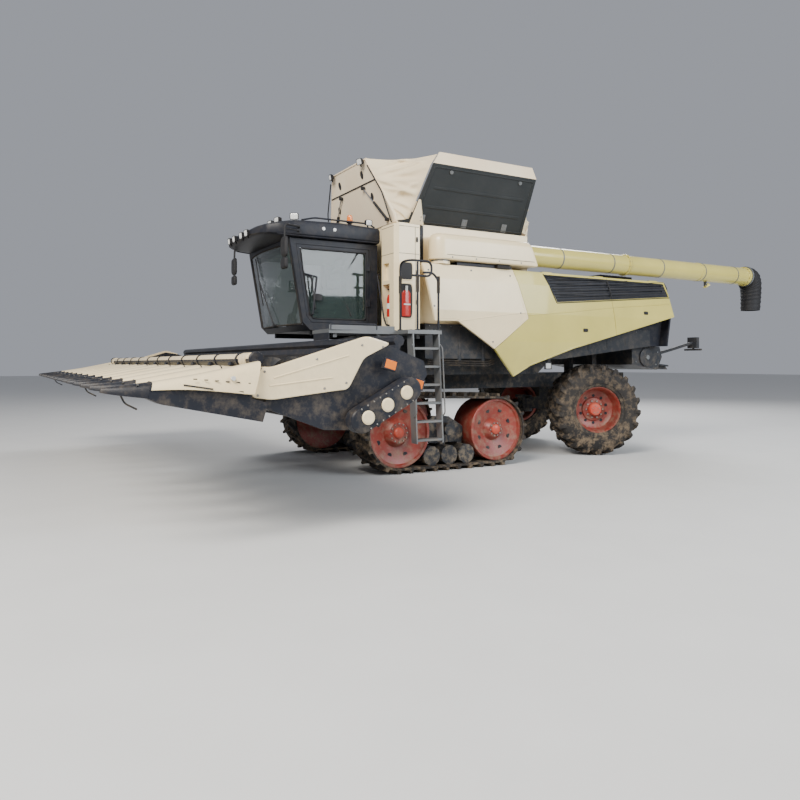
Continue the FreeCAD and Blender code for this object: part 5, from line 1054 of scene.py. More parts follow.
def flap_dress(s):
    """Rolled edges, pressed ribs, hinge straps and latches on a flap, and its lip in the cream darkened as painted
    shade.
    """
    o = NODES["tank_flap_" + TAG[s]]
    # the lip gets the shade-darkened cream: painted shade
    o.data.materials.append(SHADED_CREAM)
    for p in o.data.polygons:
        if p.center.z > FLAP_TOP[1] - 0.004 and p.center.y > -2.2:
            p.material_index = 1
    b = Build()
    edge = [flap_point(s, flap_front(0.04) + 0.04, 0.04), flap_point(s, flap_front(0.95) + 0.03, 0.95),
            flap_point(s, 1.71, 0.95), flap_point(s, 1.71, 0.04)]
    b.tube(edge + edge[:1], 0.012, 8, bend=0.03)
    for t in (0.3, 0.62):
        rows = []
        for y, h in ((flap_front(t) + 0.12, 0.0), (flap_front(t) + 0.2, 0.012), (1.55, 0.012), (1.63, 0.0)):
            rows.append([flap_point(s, y, t + a, h * k - 0.003)
                         for a, k in ((-0.03, 0), (-0.018, 1), (0.018, 1), (0.03, 0))])
        b.rings(rows)
    for y in (-0.25, 0.55, 1.35):
        b.rings([[flap_point(s, y + a, t, h) for a, h in ((-0.05, 0), (-0.05, 0.01), (0.05, 0.01), (0.05, 0))]
                 for t in (0.02, 0.16)], 1)
        for t in (0.06, 0.12):
            for a in (-0.025, 0.025):
                b.bar(flap_point(s, y + a, t, 0.008), flap_point(s, y + a, t, 0.018), 0.011, 6, 1)
    b.rings([[flap_point(s, flap_front(0) - 0.02, -0.01, h), flap_point(s, -0.2, -0.01, h),
              flap_point(s, flap_front(0.4) + 0.01, 0.4, h), flap_point(s, flap_front(0.4) - 0.02, 0.4, h)]
             for h in (-0.002, 0.015)], 2)  # turned-over edge of the canvas
    for y in (0.1, 1.45):
        b.bar(flap_point(s, y, 0.9, 0.0), flap_point(s, y, 0.9, 0.02), 0.03, 20, 1)
    b.make("flap_dress_" + TAG[s], [FLAP, GREY, CANVAS], "tank_flap_" + TAG[s], bevel=0.002)


def cover_point(front, x, t, out=0.0):
    """Place on an end cover's outer face: t from its foot to its top edge."""
    d = -1 if front else 1
    y = (FRONT_Y if front else COVER_REAR_Y) + d * (0.03 + COVER_LEAN * t + out)
    return M(x, y, TANK_TOP + COVER_H * t)


def cover_dress(front):
    """Hems, grommets and spring struts on an end cover, and the front one's lamps with their cable."""
    b = Build()
    for s in (-1, 1):  # folded hems along the slanted edges
        b.tube([cover_point(front, s * 1.17, 0.0), cover_point(front, s * 1.17, 0.12),
                cover_point(front, s * 0.63, 0.985), cover_point(front, 0, 0.985)], 0.013, 8, 0, bend=0.04)
        for t, r in ((0.45, 0.05), (0.8, 0.055)):  # oval grommets, black plate in a ring
            x = s * (0.62 if t < 0.6 else 0.42)
            b.tube([cover_point(front, x + math.cos(a) * r * 0.62, t + math.sin(a) * r * 0.95, 0.004)
                    for a in circle(24) + [2 * math.pi]], 0.009, 8, 1, bend=0.01, steps=1)
            b.rings([[cover_point(front, x + math.cos(a) * r * 0.6, t + math.sin(a) * r * 0.9, h) for a in circle(24)]
                     for h in (-0.01, 0.003)], 1)
    b.tube([cover_point(front, -0.83, 0.66, 0.003), cover_point(front, 0.83, 0.66, 0.003)], 0.012, 8, 1)
    for s in (-1, 1):  # spring struts across the lower half and their brackets
        lo, hi = cover_point(front, s * 0.98, 0.06, 0.025), cover_point(front, s * 0.42, 0.6, 0.03)
        mid = lo * 0.45 + hi * 0.55
        b.bar(lo, mid, 0.021, 16, 1)
        b.bar(mid, hi, 0.011, 12, 2)
        for p in (lo, hi):
            b.turn([(-0.03, 0.0), (-0.03, 0.03), (0.03, 0.03), (0.03, 0.0)], p, (0, 1, 0), 16, 1, False)
    name = "tank_end_dress_" + ("front" if front else "rear")
    # hems in the shade-darkened cream: painted shade
    b.make(name, [SHADED_CREAM, PLASTIC, CHROME], "chassis", smooth=40)
    if front:
        lamps = Build()
        for s in (-1, 1):
            lamp_pod(lamps, cover_point(True, s * 0.56, 0.95, 0.09), (s * 0.2, -1, -0.25), (0.13, 0.1, 0.06))
            lamps.tube([cover_point(True, s * 0.7, 0.88, 0.03), cover_point(True, s * 1.02, 0.45, 0.05),
                        cover_point(True, s * 1.12, 0.1, 0.06), cover_point(True, s * 1.1, 0.0, 0.03)], 0.011, 8)
        lamps.make("tank_lamps", [PLASTIC, LENS], "chassis", smooth=35)


def gusset(front, s):
    """Wrinkled canvas between an end cover's slanted edge and a flap's edge."""
    n, m = 44, 44
    d = -1 if front else 1
    end, cover, flap = "front" if front else "rear", FRONT_Y if front else COVER_REAR_Y, "flap_%s" % TAG[s]
    lean = (0.03 + COVER_LEAN) * 0.98
    inner = [V((COVER_LOW + 0.012, cover + d * 0.035, TANK_TOP + 0.015)),
             V((COVER_TOP + 0.012, cover + d * lean, TANK_TOP + COVER_H - 0.01))]
    hem = [V((FLAP_FOOT_X - 0.01, -0.445 if front else 1.775, TANK_TOP + 0.06)),
           V((FLAP_TOP[0] - 0.04, -0.262 if front else 1.775, FLAP_TOP[1] - 0.02)),
           V((FLAP_LIP[0] - 0.045, -0.075 if front else 1.775, FLAP_LIP[1] - 0.012))]
    rng = random.Random(7 + 2 * front + s)
    folds = [(rng.uniform(0.1, 1.0), rng.uniform(-0.35, 0.35), rng.uniform(0.03, 0.065), rng.uniform(0.022, 0.045))
             for _ in range(11)]
    verts = []
    for i in range(n + 1):
        u = i / n
        a = inner[0].lerp(inner[1], u)
        c = hem[0].lerp(hem[1], u / 0.8) if u < 0.8 else hem[1].lerp(hem[2], (u - 0.8) / 0.2)
        for j in range(m + 1):
            v = j / m
            p = a.lerp(c, v)
            slack = math.sin(math.pi * v)
            h = sum(size * math.exp(-((u - at - tilt * (v - 0.5)) / w) ** 2) for at, tilt, size, w in folds)
            h -= 0.055 * slack * (0.4 + 0.6 * u)
            h += 0.004 * math.sin(38 * u + 9 * v) * slack
            p = p + V((0.45, d * 0.85, -0.15)) * (h * slack) + V((0, 0, -0.05 * u ** 4 * slack))
            p = M(p.x, p.y, p.z)
            verts.append(V((s * p.x, p.y, p.z)))
    faces = [[i * (m + 1) + j, i * (m + 1) + j + 1, (i + 1) * (m + 1) + j + 1, (i + 1) * (m + 1) + j]
             for i in range(n) for j in range(m)]
    o = piece("canvas_%s_%s" % (end, TAG[s]), verts, faces, CANVAS, "chassis",
              ["tank_canvas"] if front and s > 0 else [])
    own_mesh(o)


def tank_inside():
    """Ribs, a cross bar and the filling auger in the open tank."""
    b = Build()
    for s in (-1, 1):
        b.box(M(s * 1.17 - 0.02, FRONT_Y + 0.05, 3.70), M(s * 1.17 + 0.02, COVER_REAR_Y - 0.05, 3.72), 0)
    for y in (0.0, 0.63, 1.26):
        for s in (-1, 1):
            b.box(M(s * 1.18 - 0.012, y - 0.02, 3.2), M(s * 1.18 + 0.012, y + 0.02, 3.7), 0)
    b.tube([M(0, 1.7, 2.65), M(0, 0.9, 3.35), M(0, 0.6, 3.52)], 0.13, 24, 0, bend=0.3)
    b.turn([(0, 0.0), (0, 0.16), (0.03, 0.16), (0.03, 0.0)], M(0, 0.62, 3.5), (0, -0.55, 0.83), 32, 0, False)
    b.bar(M(-1.18, 0.65, 3.36), M(1.18, 0.65, 3.36), 0.02, 12, 0)
    b.make("tank_fittings", TANKIN, "chassis", bevel=0.002)


AUGER = (1.43, 3.43)
AUGER_R = 0.175
AUGER_END = 7.52


def moulded_cover():
    """Soft-edged housing over the auger's elbow, with a slanted rear end, a seam and fasteners."""
    b = Build()
    ax, az = AUGER
    rows = []
    prof = [(3.226, 0.03), (3.232, 0.012), (3.25, 0.0), (3.4, 0.0), (3.52, 0.003), (3.575, 0.014), (3.61, 0.038),
            (3.629, 0.07), (3.634, 0.1)]
    for z, inset in prof:
        r = 0.19 - inset
        end = 1.83 - (z - 3.226) * 0.4 - inset * 0.6
        ring = [M(ax + r * math.cos(t), r * math.sin(t), z) for t in [math.pi + math.pi * k / 20 for k in range(21)]]
        c = 0.045
        ring += [M(ax + r, end - c, z), M(ax + r * 0.96, end - c * 0.3, z), M(ax + r - c, end, z),
                 M(ax - r + c, end, z), M(ax - r * 0.96, end - c * 0.3, z), M(ax - r, end - c, z)]
        rows.append(ring)
    b.rings(rows)
    b.make("auger_cover_shell", CREAM, "unloading_auger", ["auger_cover"], smooth=50)
    d = Build()
    d.turn([(-0.012, 0.0), (-0.012, 0.15), (0.012, 0.15), (0.012, 0.0)], M(ax, 0, 3.217), (0, 0, 1), 40, 1, False)
    d.tube([M(ax + 0.1915, 0.0, 3.30), M(ax + 0.1915, 1.73, 3.30)], 0.004, 6)
    for y in (0.1, 0.55, 1.0, 1.45):
        d.bar(M(ax + 0.188, y, 3.265), M(ax + 0.196, y, 3.265), 0.012, 6, 1)
    d.make("auger_cover_trim", [BLACK, GREY], "unloading_auger")


def auger_pipe():
    """Unloading tube with its bolted flanges, hose, straps and lamp."""
    b = Build()
    ax, az = AUGER
    c = M(ax, 0, az)
    prof = [(1.64, 0.0), (1.64, AUGER_R), (3.985, AUGER_R), (3.985, 0.193), (3.992, 0.197), (4.004, 0.197),
            (4.006, 0.186), (4.012, 0.186), (4.014, 0.197), (4.026, 0.197), (4.033, 0.193), (4.033, AUGER_R),
            (6.0, AUGER_R), (6.0, 0.182), (6.03, 0.182), (6.03, AUGER_R), (7.46, AUGER_R), (7.46, 0.195),
            (7.52, 0.195), (7.52, 0.0)]
    b.turn(prof, c, (0, 1, 0), 64, 0, False)
    for t in circle(12, 0.5):
        for y in (3.975, 7.45):
            p = c + V((math.cos(t) * 0.187, y, math.sin(t) * 0.187))
            b.bar(p, p + V((0, 0.07, 0)), 0.007, 6, 1)
    b.tube([M(ax - 0.05, 3.2, az + 0.172), M(ax - 0.05, 3.4, az + 0.178), M(ax - 0.05, 6.2, az + 0.178),
            M(ax - 0.05, 7.35, az + 0.178)], 0.008, 8, 2)
    for y in (2.4, 3.6, 4.9, 6.1, 7.1):
        b.turn([(-0.012, 0.172), (-0.012, 0.179), (0.012, 0.179), (0.012, 0.172)], M(ax, y, az), (0, 1, 0), 48, 1)
    b.box(M(ax - 0.035, 6.29, az - 0.26), M(ax + 0.035, 6.3, az - 0.165), 1)
    lamp_pod(b, M(ax, 6.36, az - 0.27), (0.3, 0.5, -0.8), (0.12, 0.1, 0.06), 3)
    b.make("auger_pipe", [GREEN, GREY, RUBBER, LENS], "unloading_auger", ["auger_tube"], bevel=0.0015)


def boot():
    """Ribbed rubber boot that bends down from the tube's end, open below."""
    ax, az = AUGER
    keys = [(0.0, 0.0, 0, 0.196), (0.09, -0.01, 16, 0.212), (0.17, -0.055, 40, 0.222), (0.225, -0.16, 60, 0.212),
            (0.235, -0.33, 78, 0.2), (0.23, -0.5, 85, 0.192), (0.215, -0.7, 90, 0.184)]
    rings = []

    def ring(y, z, ang, r):
        a = math.radians(ang)
        up = V((0, math.sin(a), math.cos(a)))
        c = M(ax, AUGER_END + y, az + z)
        return [c + V((1, 0, 0)) * (r * math.cos(t)) + up * (r * math.sin(t)) for t in circle(48)]
    spans = []
    for (y0, z0, a0, r0), (y1, z1, a1, r1) in zip(keys, keys[1:]):
        for k in range(6):
            t = k / 6
            spans.append((y0 + (y1 - y0) * t, z0 + (z1 - z0) * t, a0 + (a1 - a0) * t, r0 + (r1 - r0) * t))
    spans.append(keys[-1])
    for k, (y, z, a, r) in enumerate(spans):
        rings.append(ring(y, z, a, r + (0.006 if k % 3 == 1 else -0.003 if 0 < k < len(spans) - 1 else 0)))
    for y, z, a, r in spans[::-1][:-4]:
        rings.append(ring(y, z, a, r - 0.018))
    b = Build()
    b.rings(rings)
    b.turn([(0.005, 0.196), (0.005, 0.208), (0.035, 0.212), (0.035, 0.2)], M(ax, AUGER_END, az), (0, 1, 0), 48, 1)
    b.make("auger_boot", [BOOT, GREY], "unloading_auger", ["auger_spout"], smooth=35)


for side in (-1, 1):
    flap_dress(side)
    gusset(True, side)
    gusset(False, side)
cover_dress(True)
cover_dress(False)
tank_inside()
moulded_cover()
auger_pipe()
boot()


# Access side: tower, rails, ladder and walkway
TOWER_X1, TOWER_Y0 = 1.5, -0.84
WALK_Z = 2.11


def plate(b, corners, lift, mat=0):
    """Thin closed plate over a loop of points, raised along lift."""
    b.rings([[p - lift * 0.2 for p in corners], [p + lift for p in corners]], mat)


def tower():
    """Windows, seams and latches of the side cabinet, and the fire extinguisher."""
    b = Build()
    for lo, hi in ((2.88, 3.15), (2.30, 2.83)):  # dark windows of the side cabinet
        line = [M(TOWER_X1, -0.66 + a, z) for a, z in oval(0.115, lo, hi, 0.35, 32)]
        plate(b, line, V((0.004, 0, 0)), 1)
        b.tube([p + V((0.003, 0, 0)) for p in line + line[:1]], 0.008, 8, 0, bend=0.01, steps=1)
    b.rings([[M(TOWER_X1 + 0.005 + x, -0.66 + a, z) for a, x in
              [(math.cos(t) * 0.075 * s, math.sin(t) * 0.03 * s) for t in [math.pi * k / 12 for k in range(13)]]]
             for z, s in ((2.33, 0.9), (2.35, 1), (2.68, 1), (2.72, 0.6))], 2)
    b.box(M(TOWER_X1 + 0.004, -0.715, 2.5), M(TOWER_X1 + 0.0375, -0.605, 2.52), 3)
    b.bar(M(TOWER_X1 + 0.01, -0.66, 2.7), M(TOWER_X1 + 0.02, -0.66, 2.79), 0.02, 12, 3)
    for z in (3.28, 3.69):  # seams of the upper box and the door, with their latch
        b.tube([M(1.06, TOWER_Y0 - 0.001, z), M(1.44, TOWER_Y0 - 0.001, z)], 0.003, 6, 1)
        b.tube([M(TOWER_X1 + 0.001, -0.78, z), M(TOWER_X1 + 0.001, -0.43, z)], 0.003, 6, 1)
    b.tube([M(TOWER_X1 + 0.001, -0.5, 3.69), M(TOWER_X1 + 0.001, -0.5, 2.16)], 0.003, 6, 1)
    for z in (2.55, 3.0, 3.5):
        plate(b, [M(TOWER_X1, -0.47 + a, q) for a, q in oval(0.016, z - 0.04, z + 0.04, 0.5, 20)],
              V((0.008, 0, 0)), 1)
    b.tube([M(1.0, -0.86, 3.0), M(1.03, -0.9, 2.98), M(1.3, -0.93, 2.3), M(1.32, -0.9, 2.2), M(1.32, -0.85, 2.2)],
           0.013, 10, 1)
    b.make("tower_dress", [CREAM, PLASTIC, FIRE, LENS], "chassis", smooth=40)
    e = Build()
    x, y = 1.2, TOWER_Y0 + 0.098
    prof = [(2.3305, 0.0), (2.3305, 0.06), (2.34, 0.072), (2.36, 0.075), (2.62, 0.075), (2.67, 0.06), (2.69, 0.03),
            (2.7, 0.022), (2.73, 0.02), (2.73, 0.0)]
    e.turn(prof, M(x, y, 0), (0, 0, 1), 40, 0, False)
    e.turn([(2.46, 0.0745), (2.46, 0.0765), (2.54, 0.0765), (2.54, 0.0745)], M(x, y, 0), (0, 0, 1), 40, 1)
    e.box(M(x - 0.014, y - 0.07, 2.745), M(x + 0.014, y + 0.02, 2.76), 2)
    e.bar(M(x, y, 2.72), M(x, y, 2.76), 0.016, 16, 2)
    e.tube([M(x + 0.01, y - 0.01, 2.735), M(x + 0.06, y - 0.05, 2.72), M(x + 0.07, y - 0.06, 2.55),
            M(x + 0.055, y - 0.06, 2.4)], 0.008, 8, 2)
    e.make("extinguisher_bottle", [FIRE, LENS, PLASTIC], "chassis", ["fire_extinguisher"], smooth=40)


def rails():
    """Bent hand rails with foot plates and rubber grips."""
    b = Build()
    r = 0.017
    b.tube([M(1.64, -0.84, WALK_Z), M(1.64, -0.84, 3.11), M(1.9, -0.84, 3.12), M(1.9, -0.46, 3.12),
            M(1.9, -0.46, 2.9), M(1.9, -0.78, 2.9)], r, 16, 0, bend=0.11, steps=8)
    b.tube([M(1.9, -0.7, WALK_Z), M(1.9, -0.7, 3.1)], r, 16)
    b.tube([M(1.9, -0.34, WALK_Z), M(1.9, -0.34, 2.85), M(1.9, -0.44, 2.96), M(1.9, -0.6, 2.95)], r, 16, 0, bend=0.1,
           steps=8)
    for x, y in ((1.64, -0.84), (1.9, -0.7), (1.9, -0.34)):
        b.turn([(0.0, 0.0), (0.0, 0.04), (0.012, 0.04), (0.016, 0.018)], M(x, y, WALK_Z), (0, 0, 1), 24, 0, False)
        b.turn([(0.3, 0.018), (0.3, 0.024), (0.55, 0.024), (0.55, 0.018)], M(x, y, WALK_Z + 0.25), (0, 0, 1), 20, 1)
    b.make("rail_loops", [BLACK, RUBBER], "chassis", ["handrails"], smooth=40)


def steps():
    """Ladder: folded side plates, toothed treads and a grab rail on each side."""
    b = Build()
    top, low = WALK_Z - 0.055, 0.47
    x0t, x1t, x0l, x1l = 1.76, 1.93, 1.895, 2.045
    for y in (-0.8, -0.36):
        b.rings([[M(x, y, top - 0.0005), M(x, y + 0.022, top - 0.0005), M(x2, y + 0.022, low), M(x2, y, low)]
                 for x, x2 in ((x0t, x0l), (x1t, x1l))])
    for k in range(6):
        z = 0.5 + k * 0.265
        t = (z - low) / (top - low)
        a, c = x0l + (x0t - x0l) * t + 0.006, x1l + (x1t - x1l) * t - 0.006
        b.box(M(a, -0.785, z), M(a + 0.012, -0.355, z + 0.032))
        b.box(M(c - 0.012, -0.785, z), M(c, -0.355, z + 0.032))
        for i in range(14):
            y = -0.775 + i * 0.032
            b.box(M(a, y, z + 0.02), M(c, y + 0.006, z + 0.036))
    for y in (-0.811, -0.327):
        b.tube([M(1.99, y, 0.85), M(2.06, y, 0.9), M(1.99, y, 1.85), M(1.93, y, 1.9)], 0.011, 10)
    b.make("ladder_steps", GREY, "chassis", ["ladder"], bevel=0.002, smooth=35)


def walkway():
    """Grip strips, toe board and the low hoop of the walkway."""
    b = Build()
    for i in range(23):
        y = -1.92 + i * 0.07
        x1 = 1.545 if y < -0.9 else 1.55 if y < -0.85 else 1.9
        b.box(M(0.975, y, WALK_Z - 0.001), M(x1, y + 0.012, WALK_Z + 0.008))
    b.box(M(1.0, -1.95, WALK_Z - 0.15), M(1.55, -1.94, WALK_Z - 0.05), 1)
    b.tube([M(1.57, -1.93, WALK_Z), M(1.57, -1.93, 2.19), M(1.57, -1.2, 2.19), M(1.57, -1.2, WALK_Z)], 0.014, 12, 1)
    b.make("walkway_grip", [GREY, BLACK], "chassis", smooth=40)


# Side panels
SLAT_RISE = 0.078  # climb of the slats per metre along the machine
SKIN = [(1.522, 3.2), (1.582, 2.93), (1.605, 2.45), (1.588, 1.98), (1.492, 1.35)]


def skin_x(z):
    """Half width of the side panels' outer face at a height."""
    for (x0, z0), (x1, z1) in zip(SKIN, SKIN[1:]):
        if z >= z1:
            return x0 + (x1 - x0) * (z - z0) / (z1 - z0)
    return SKIN[-1][0]


def on_skin(s, y, z, out=0.0):
    return M(s * (skin_x(z) + out), y, z)


def skin_line(b, s, pts, r, mat=0, out=0.0, steps=10):
    """Thin round line that follows the panels' bulge through (y, z) points."""
    line = []
    for (y0, z0), (y1, z1) in zip(pts, pts[1:]):
        line += [on_skin(s, y0 + (y1 - y0) * k / steps, z0 + (z1 - z0) * k / steps, out) for k in range(steps)]
    line.append(on_skin(s, *pts[-1], out))
    b.tube(line, r, 6, mat, bend=0.01, steps=1)


def panels(s):
    """Creases, edges and fasteners of one side's panels, and the slats of its grille."""
    tag = TAG[s]
    f = Build()
    skin_line(f, s, [(0.24, 2.285), (1.2, 2.42), (1.56, 2.46)], 0.006, 0, 0.001)  # pressed crease
    skin_line(f, s, [(-0.38, 3.12), (-0.2, 2.32), (0.2, 2.32), (0.93, 1.9), (1.58, 2.37), (1.32, 3.12)], 0.0035, 0)
    for y, z in ((-0.3, 3.05), (-0.22, 2.5), (0.5, 3.09), (1.27, 3.05), (1.45, 2.45), (0.9, 1.97)):
        f.bar(on_skin(s, y, z, -0.004), on_skin(s, y, z, 0.006), 0.014, 20, 1)
        f.bar(on_skin(s, y, z, 0.004), on_skin(s, y, z, 0.008), 0.007, 6, 1)
    f.make("panel_dress_front_" + tag, [CREAM, GREY], "chassis", smooth=40)
    b = Build()
    skin_line(b, s, [(1.6, 2.42), (2.5, 2.5), (3.55, 2.62), (5.02, 2.74)], 0.006, 0, 0.001)
    skin_line(b, s, [(1.98, 3.13), (2.24, 2.645), (5.05, 2.862)], 0.008, 1, 0.002)
    skin_line(b, s, [(0.98, 1.85), (1.4, 1.43), (1.73, 1.61), (2.64, 1.9), (5.13, 2.52)], 0.005, 0)
    for y, z in ((2.9, 2.2), (4.4, 2.55)):  # slam latches
        plate(b, [on_skin(s, y + a, q) for a, q in oval(0.055, z - 0.03, z + 0.03, 0.4, 24)], V((s * 0.006, 0, 0)), 1)
        b.bar(on_skin(s, y - 0.02, z, 0.004), on_skin(s, y - 0.02, z, 0.012), 0.012, 12, 1)
    b.make("panel_dress_rear_" + tag, [GREEN, PLASTIC], "side_rear_" + tag, smooth=40)
    g = Build()
    for k in range(9):  # fine slats in the grille's window, and its divider
        z0 = 2.70 + k * 0.046
        y0 = 2.27 - k * 0.026
        y1 = min(4.95, y0 + (3.08 - z0) / SLAT_RISE * 1.4) if z0 + 0.15 > 3.12 else 4.95
        skin_line(g, s, [(y0, z0), (y1, z0 + (y1 - y0) * SLAT_RISE)], 0.008, 0, -0.006, 4)
    skin_line(g, s, [(3.46, 3.1), (3.54, 2.78)], 0.012, 0, 0.0, 4)
    skin_line(g, s, [(2.02, 3.1), (4.9, 3.1)], 0.01, 0, 0.0, 6)
    g.make("grille_slats_" + tag, PLASTIC, "side_rear_" + tag, smooth=40)


def shade_rest():
    """Black rest under the auger's housing and a dark strip beside the tower: black boxes that paint the shade in the
    gaps there.
    """
    b = Build()
    # black box: painted shade of the gap under the auger's housing
    b.box(M(1.3, 0.25, 3.157), M(1.52, 1.33, 3.212), 0)
    b.box(M(1.24, 1.0, 3.157), M(1.58, 1.25, 3.217), 1)
    # black strip: painted shade of the gap between the tower and the tank
    b.box(M(1.2305, -0.4, 3.17), M(1.245, -0.2, 3.78), 0)
    b.tube([M(1.26, -0.33, 3.2), M(1.26, -0.33, 3.7), M(1.26, -0.25, 3.76)], 0.02, 12, 1)
    b.make("auger_shade_rest", [BLACK, RUBBER], "chassis", bevel=0.006)


tower()
rails()
steps()
walkway()
for side in (-1, 1):
    panels(side)
shade_rest()


# Body, rear end and feeder house
BODY_X = 1.3


def hull_dress():
    """Pressed ribs and bolted edges on the lower body, small side lamps and a hose bundle."""
    b = Build()
    for s in (-1, 1):
        x = s * BODY_X
        for k in range(10):
            y = -0.02 + k * 0.47
            low = 1.5 if y < 2.5 else 1.72 + (y - 2.6) * 0.11
            rows = []
            for z, h in ((low + 0.06, 0.0), (low + 0.1, 0.014), (2.14, 0.014), (2.19, 0.0)):
                rows.append([M(x + s * o, y + a, z)
                             for a, o in ((-0.035, -0.002), (-0.02, h), (0.02, h), (0.035, -0.002))])
            b.rings(rows)
        for k in range(24):
            y = -0.12 + k * 0.2
            b.bar(M(x, y, 2.215), M(x + s * 0.008, y, 2.215), 0.009, 6, 1)
        b.box(M(min(x, x + s * 0.012), 2.22, 1.52), M(max(x, x + s * 0.012), 2.38, 1.64), 0)
        plate(b, [M(x + s * 0.012, 2.3 + a, z) for a, z in oval(0.055, 1.535, 1.625, 0.3, 24)],
              V((s * 0.006, 0, 0)), 2)
        for dz in (0.0, 0.035, 0.07):
            b.tube([M(s * 1.29, -0.15, 1.62 + dz), M(s * 1.318, 0.0, 1.6 + dz), M(s * 1.318, 1.0, 1.58 + dz),
                    M(s * 1.29, 1.15, 1.62 + dz)], 0.013, 8, 3)
    b.make("hull_dress", [DARK, GREY, LENS, RUBBER], "chassis", smooth=35)


def cap_y(z, out=0.0):
    """Place on the rear cap's leaning face at a height."""
    return 5.14 + out + (z - 1.95) * 0.17


def tail():
    """Rear cap: louvres, tail lamps, door seams and handles, and lenses on the lamp arms."""
    b = Build()
    for k in range(8):  # louvres follow the cap's slope
        z = 2.56 + k * 0.055
        y = 5.23 - (z - 2.48) * 0.19
        b.rings([[M(x, y + dy, z + dz) for dy, dz in
                  ((-0.004, -0.016), (0.014, -0.018), (0.008, 0.006), (-0.006, 0.01))] for x in (-0.75, 0.75)])
    for s in (-1, 1):
        plate(b, [M(s * 1.12 + a, cap_y(z), z) for a, z in oval(0.13, 2.2, 2.42, 0.3, 32)],
              V((0, 0.012, 0)), 1)
        for k, m in enumerate((2, 3, 2)):
            c = 2.245 + k * 0.065
            plate(b, [M(s * 1.12 + a, cap_y(z, 0.012), z) for a, z in oval(0.11, c - 0.026, c + 0.026, 0.35, 24)],
                  V((0, 0.012, 0)), m)
        b.tube([M(s * 0.95, 5.155, 2.05), M(s * 0.95, 5.19, 2.44), M(s * 0.9, 5.165, 2.95)], 0.004, 6, 1, bend=0.01)
        x = s * 1.16  # lenses and a striped board face rearwards on the arms
        plate(b, [M(x + a, 6.32, z) for a, z in oval(0.095, 1.95, 2.13, 0.3, 28)], V((0, 0.008, 0)), 1)
        for z, m in ((2.085, 3), (2.0, 2)):
            plate(b, [M(x + a, 6.328, q) for a, q in oval(0.07, z - 0.034, z + 0.034, 0.4, 24)], V((0, 0.012, 0)), m)
        plate(b, [M(s * 1.476, 4.9 + a, q) for a, q in oval(0.04, 2.66, 2.7, 0.4, 20)], V((s * 0.01, 0, 0)), 3)
        b.tube([M(s * x, y, z) for x, y, z in
                ((0.3, 5.22, 2.28), (0.3, 5.27, 2.3), (0.55, 5.27, 2.3), (0.55, 5.22, 2.28))], 0.011, 10, 1)
    b.make("tail_dress", [BLACK, PLASTIC, REFLECT, AMBER], "chassis", smooth=35)


def spreader():
    """Bolts and bearing caps on the chopper, and slats of the intake on the deck."""
    b = Build()
    for s in (-1, 1):
        for y, z in ((4.6, 1.66), (4.95, 1.62), (5.15, 1.6), (5.2, 1.84), (4.9, 1.86)):
            b.bar(M(s * 1.18, y, z), M(s * 1.19, y, z), 0.016, 6, 1)
        hub = M(s * 1.18, 4.86, 1.74)
        b.turn([(0.0, 0.0), (0.0, 0.17), (0.03, 0.17), (0.045, 0.14), (0.045, 0.0)], hub, (s, 0, 0), 32, 0, False)
        b.turn([(0.045, 0.0), (0.045, 0.05), (0.07, 0.045), (0.07, 0.0)], hub, (s, 0, 0), 20, 1, False)
    for k in range(9):
        b.box(M(-0.84, 4.02 + k * 0.08, 3.305), M(0.84, 4.06 + k * 0.08, 3.322), 0)
    b.make("rear_fittings", [DARK, GREY], "chassis", smooth=35)


FEEDER_X = 0.72  # outer face of the feeder house


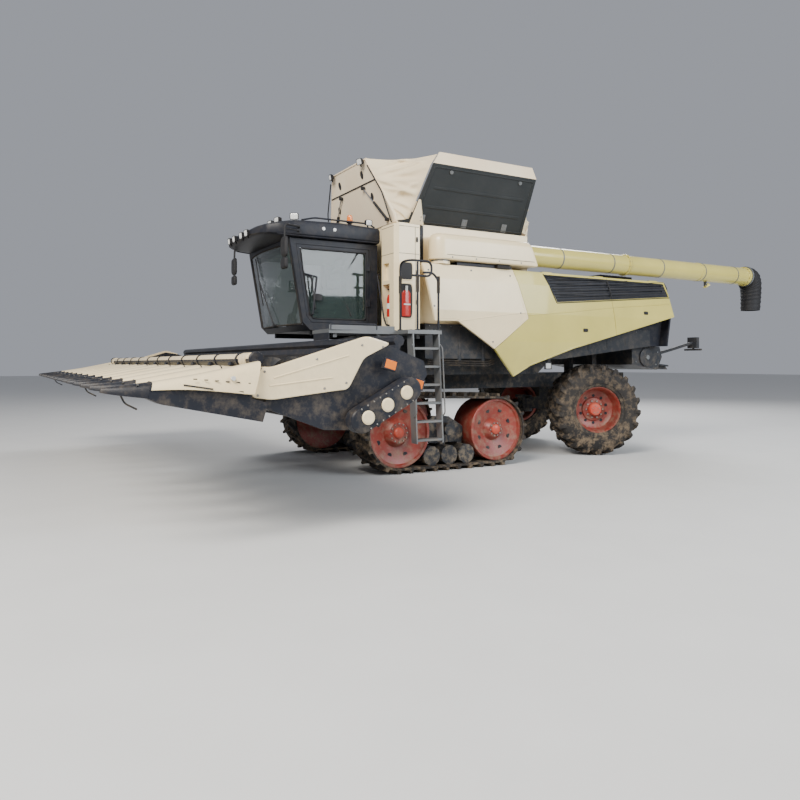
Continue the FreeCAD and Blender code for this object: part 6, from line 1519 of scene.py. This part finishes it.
def feeder():
    """Ribs, bolts and hoses on the feeder house; they rise with it."""
    b = Build()
    foot, top = V((-2.36, 1.08)), V((-0.62, 2.04))
    for s in (-1, 1):
        x = s * FEEDER_X
        for k in range(5):
            y, z = foot.lerp(top, 0.12 + k * 0.18)
            b.rings([[M(x + s * o, y + a, z - d)
                      for a, o in ((-0.03, -0.002), (-0.018, 0.014), (0.018, 0.014), (0.03, -0.002))]
                     for d in (0.05, 0.42)])
        for k in range(14):
            y, z = foot.lerp(top, 0.05 + k * 0.068)
            b.bar(M(x, y, z - 0.02), M(x + s * 0.01, y, z - 0.02), 0.01, 6, 1)
    for k in range(3):
        x = 0.745 + 0.02 * k
        b.tube([M(x, -2.3, 0.98), M(x + 0.01, -2.1, 1.03), M(x + 0.01, -1.2, 1.5), M(x, -0.9, 1.68)], 0.011, 8, 2)
    for x in (0.0, 0.2, 0.4):
        b.box(M(x - 0.3, -2.3, 1.17), M(x - 0.28, -2.28, 1.19), 0)
    up(b)
    b.make("feeder_dress", [BLACK, GREY, RUBBER], "header", smooth=35)


hull_dress()
tail()
spreader()
feeder()


# Floor, light and camera
FAR = 90
me = bpy.data.meshes.new("floor")
me.from_pydata([(-FAR, -FAR, 0), (FAR, -FAR, 0), (FAR, FAR, 0), (-FAR, FAR, 0)], [], [(0, 1, 2, 3)])
floor = bpy.data.objects.new("floor", me)
bpy.context.scene.collection.objects.link(floor)
FLOOR = paint("studio_floor", (0.62, 0.62, 0.61), (0.60, 0.60, 0.59), rough=0.9, dirt=0.0, bump=0.01)
me.materials.append(FLOOR)
world = bpy.data.worlds.new("studio")
bpy.context.scene.world = world
world.use_nodes = True
world.node_tree.nodes["Background"].inputs[0].default_value = (0.86, 0.9, 1.0, 1)
world.node_tree.nodes["Background"].inputs[1].default_value = 0.40


def lamp(name, place, aim, size, power, colour=(1, 1, 1)):
    d = bpy.data.lights.new(name, "AREA")
    d.shape = "RECTANGLE"
    d.size = size[0]
    d.size_y = size[1]
    d.energy = power
    d.color = colour
    o = bpy.data.objects.new(name, d)
    o.location = place
    o.rotation_euler = (V(aim) - V(place)).to_track_quat("-Z", "Y").to_euler()
    bpy.context.scene.collection.objects.link(o)


lamp("key", (10, -14, 13), (0, -1, 1.5), (8, 8), 5200, (1, 0.96, 0.9))
lamp("fill", (14, 6, 7), (0, 1, 1.5), (10, 6), 1900, (0.9, 0.95, 1))
lamp("rim", (-10, 10, 12), (0, 0, 2), (9, 9), 2400)

cam_data = bpy.data.cameras.new("camera")
cam = bpy.data.objects.new("camera", cam_data)
bpy.context.scene.collection.objects.link(cam)
cam_data.sensor_width = 36
cam_data.lens = 31.95
cam_data.clip_end = 300
PHI = math.radians(29.7)  # heading worked out from the photo
cam.location = M(10.73, -6.03, 1.63)
look = V((-math.cos(PHI), math.sin(PHI), 0))
cam.rotation_euler = look.to_track_quat("-Z", "Y").to_euler()
cam_data.shift_y = -37 / 800  # the horizon lies 37 pixels above the middle
bpy.context.scene.camera = cam
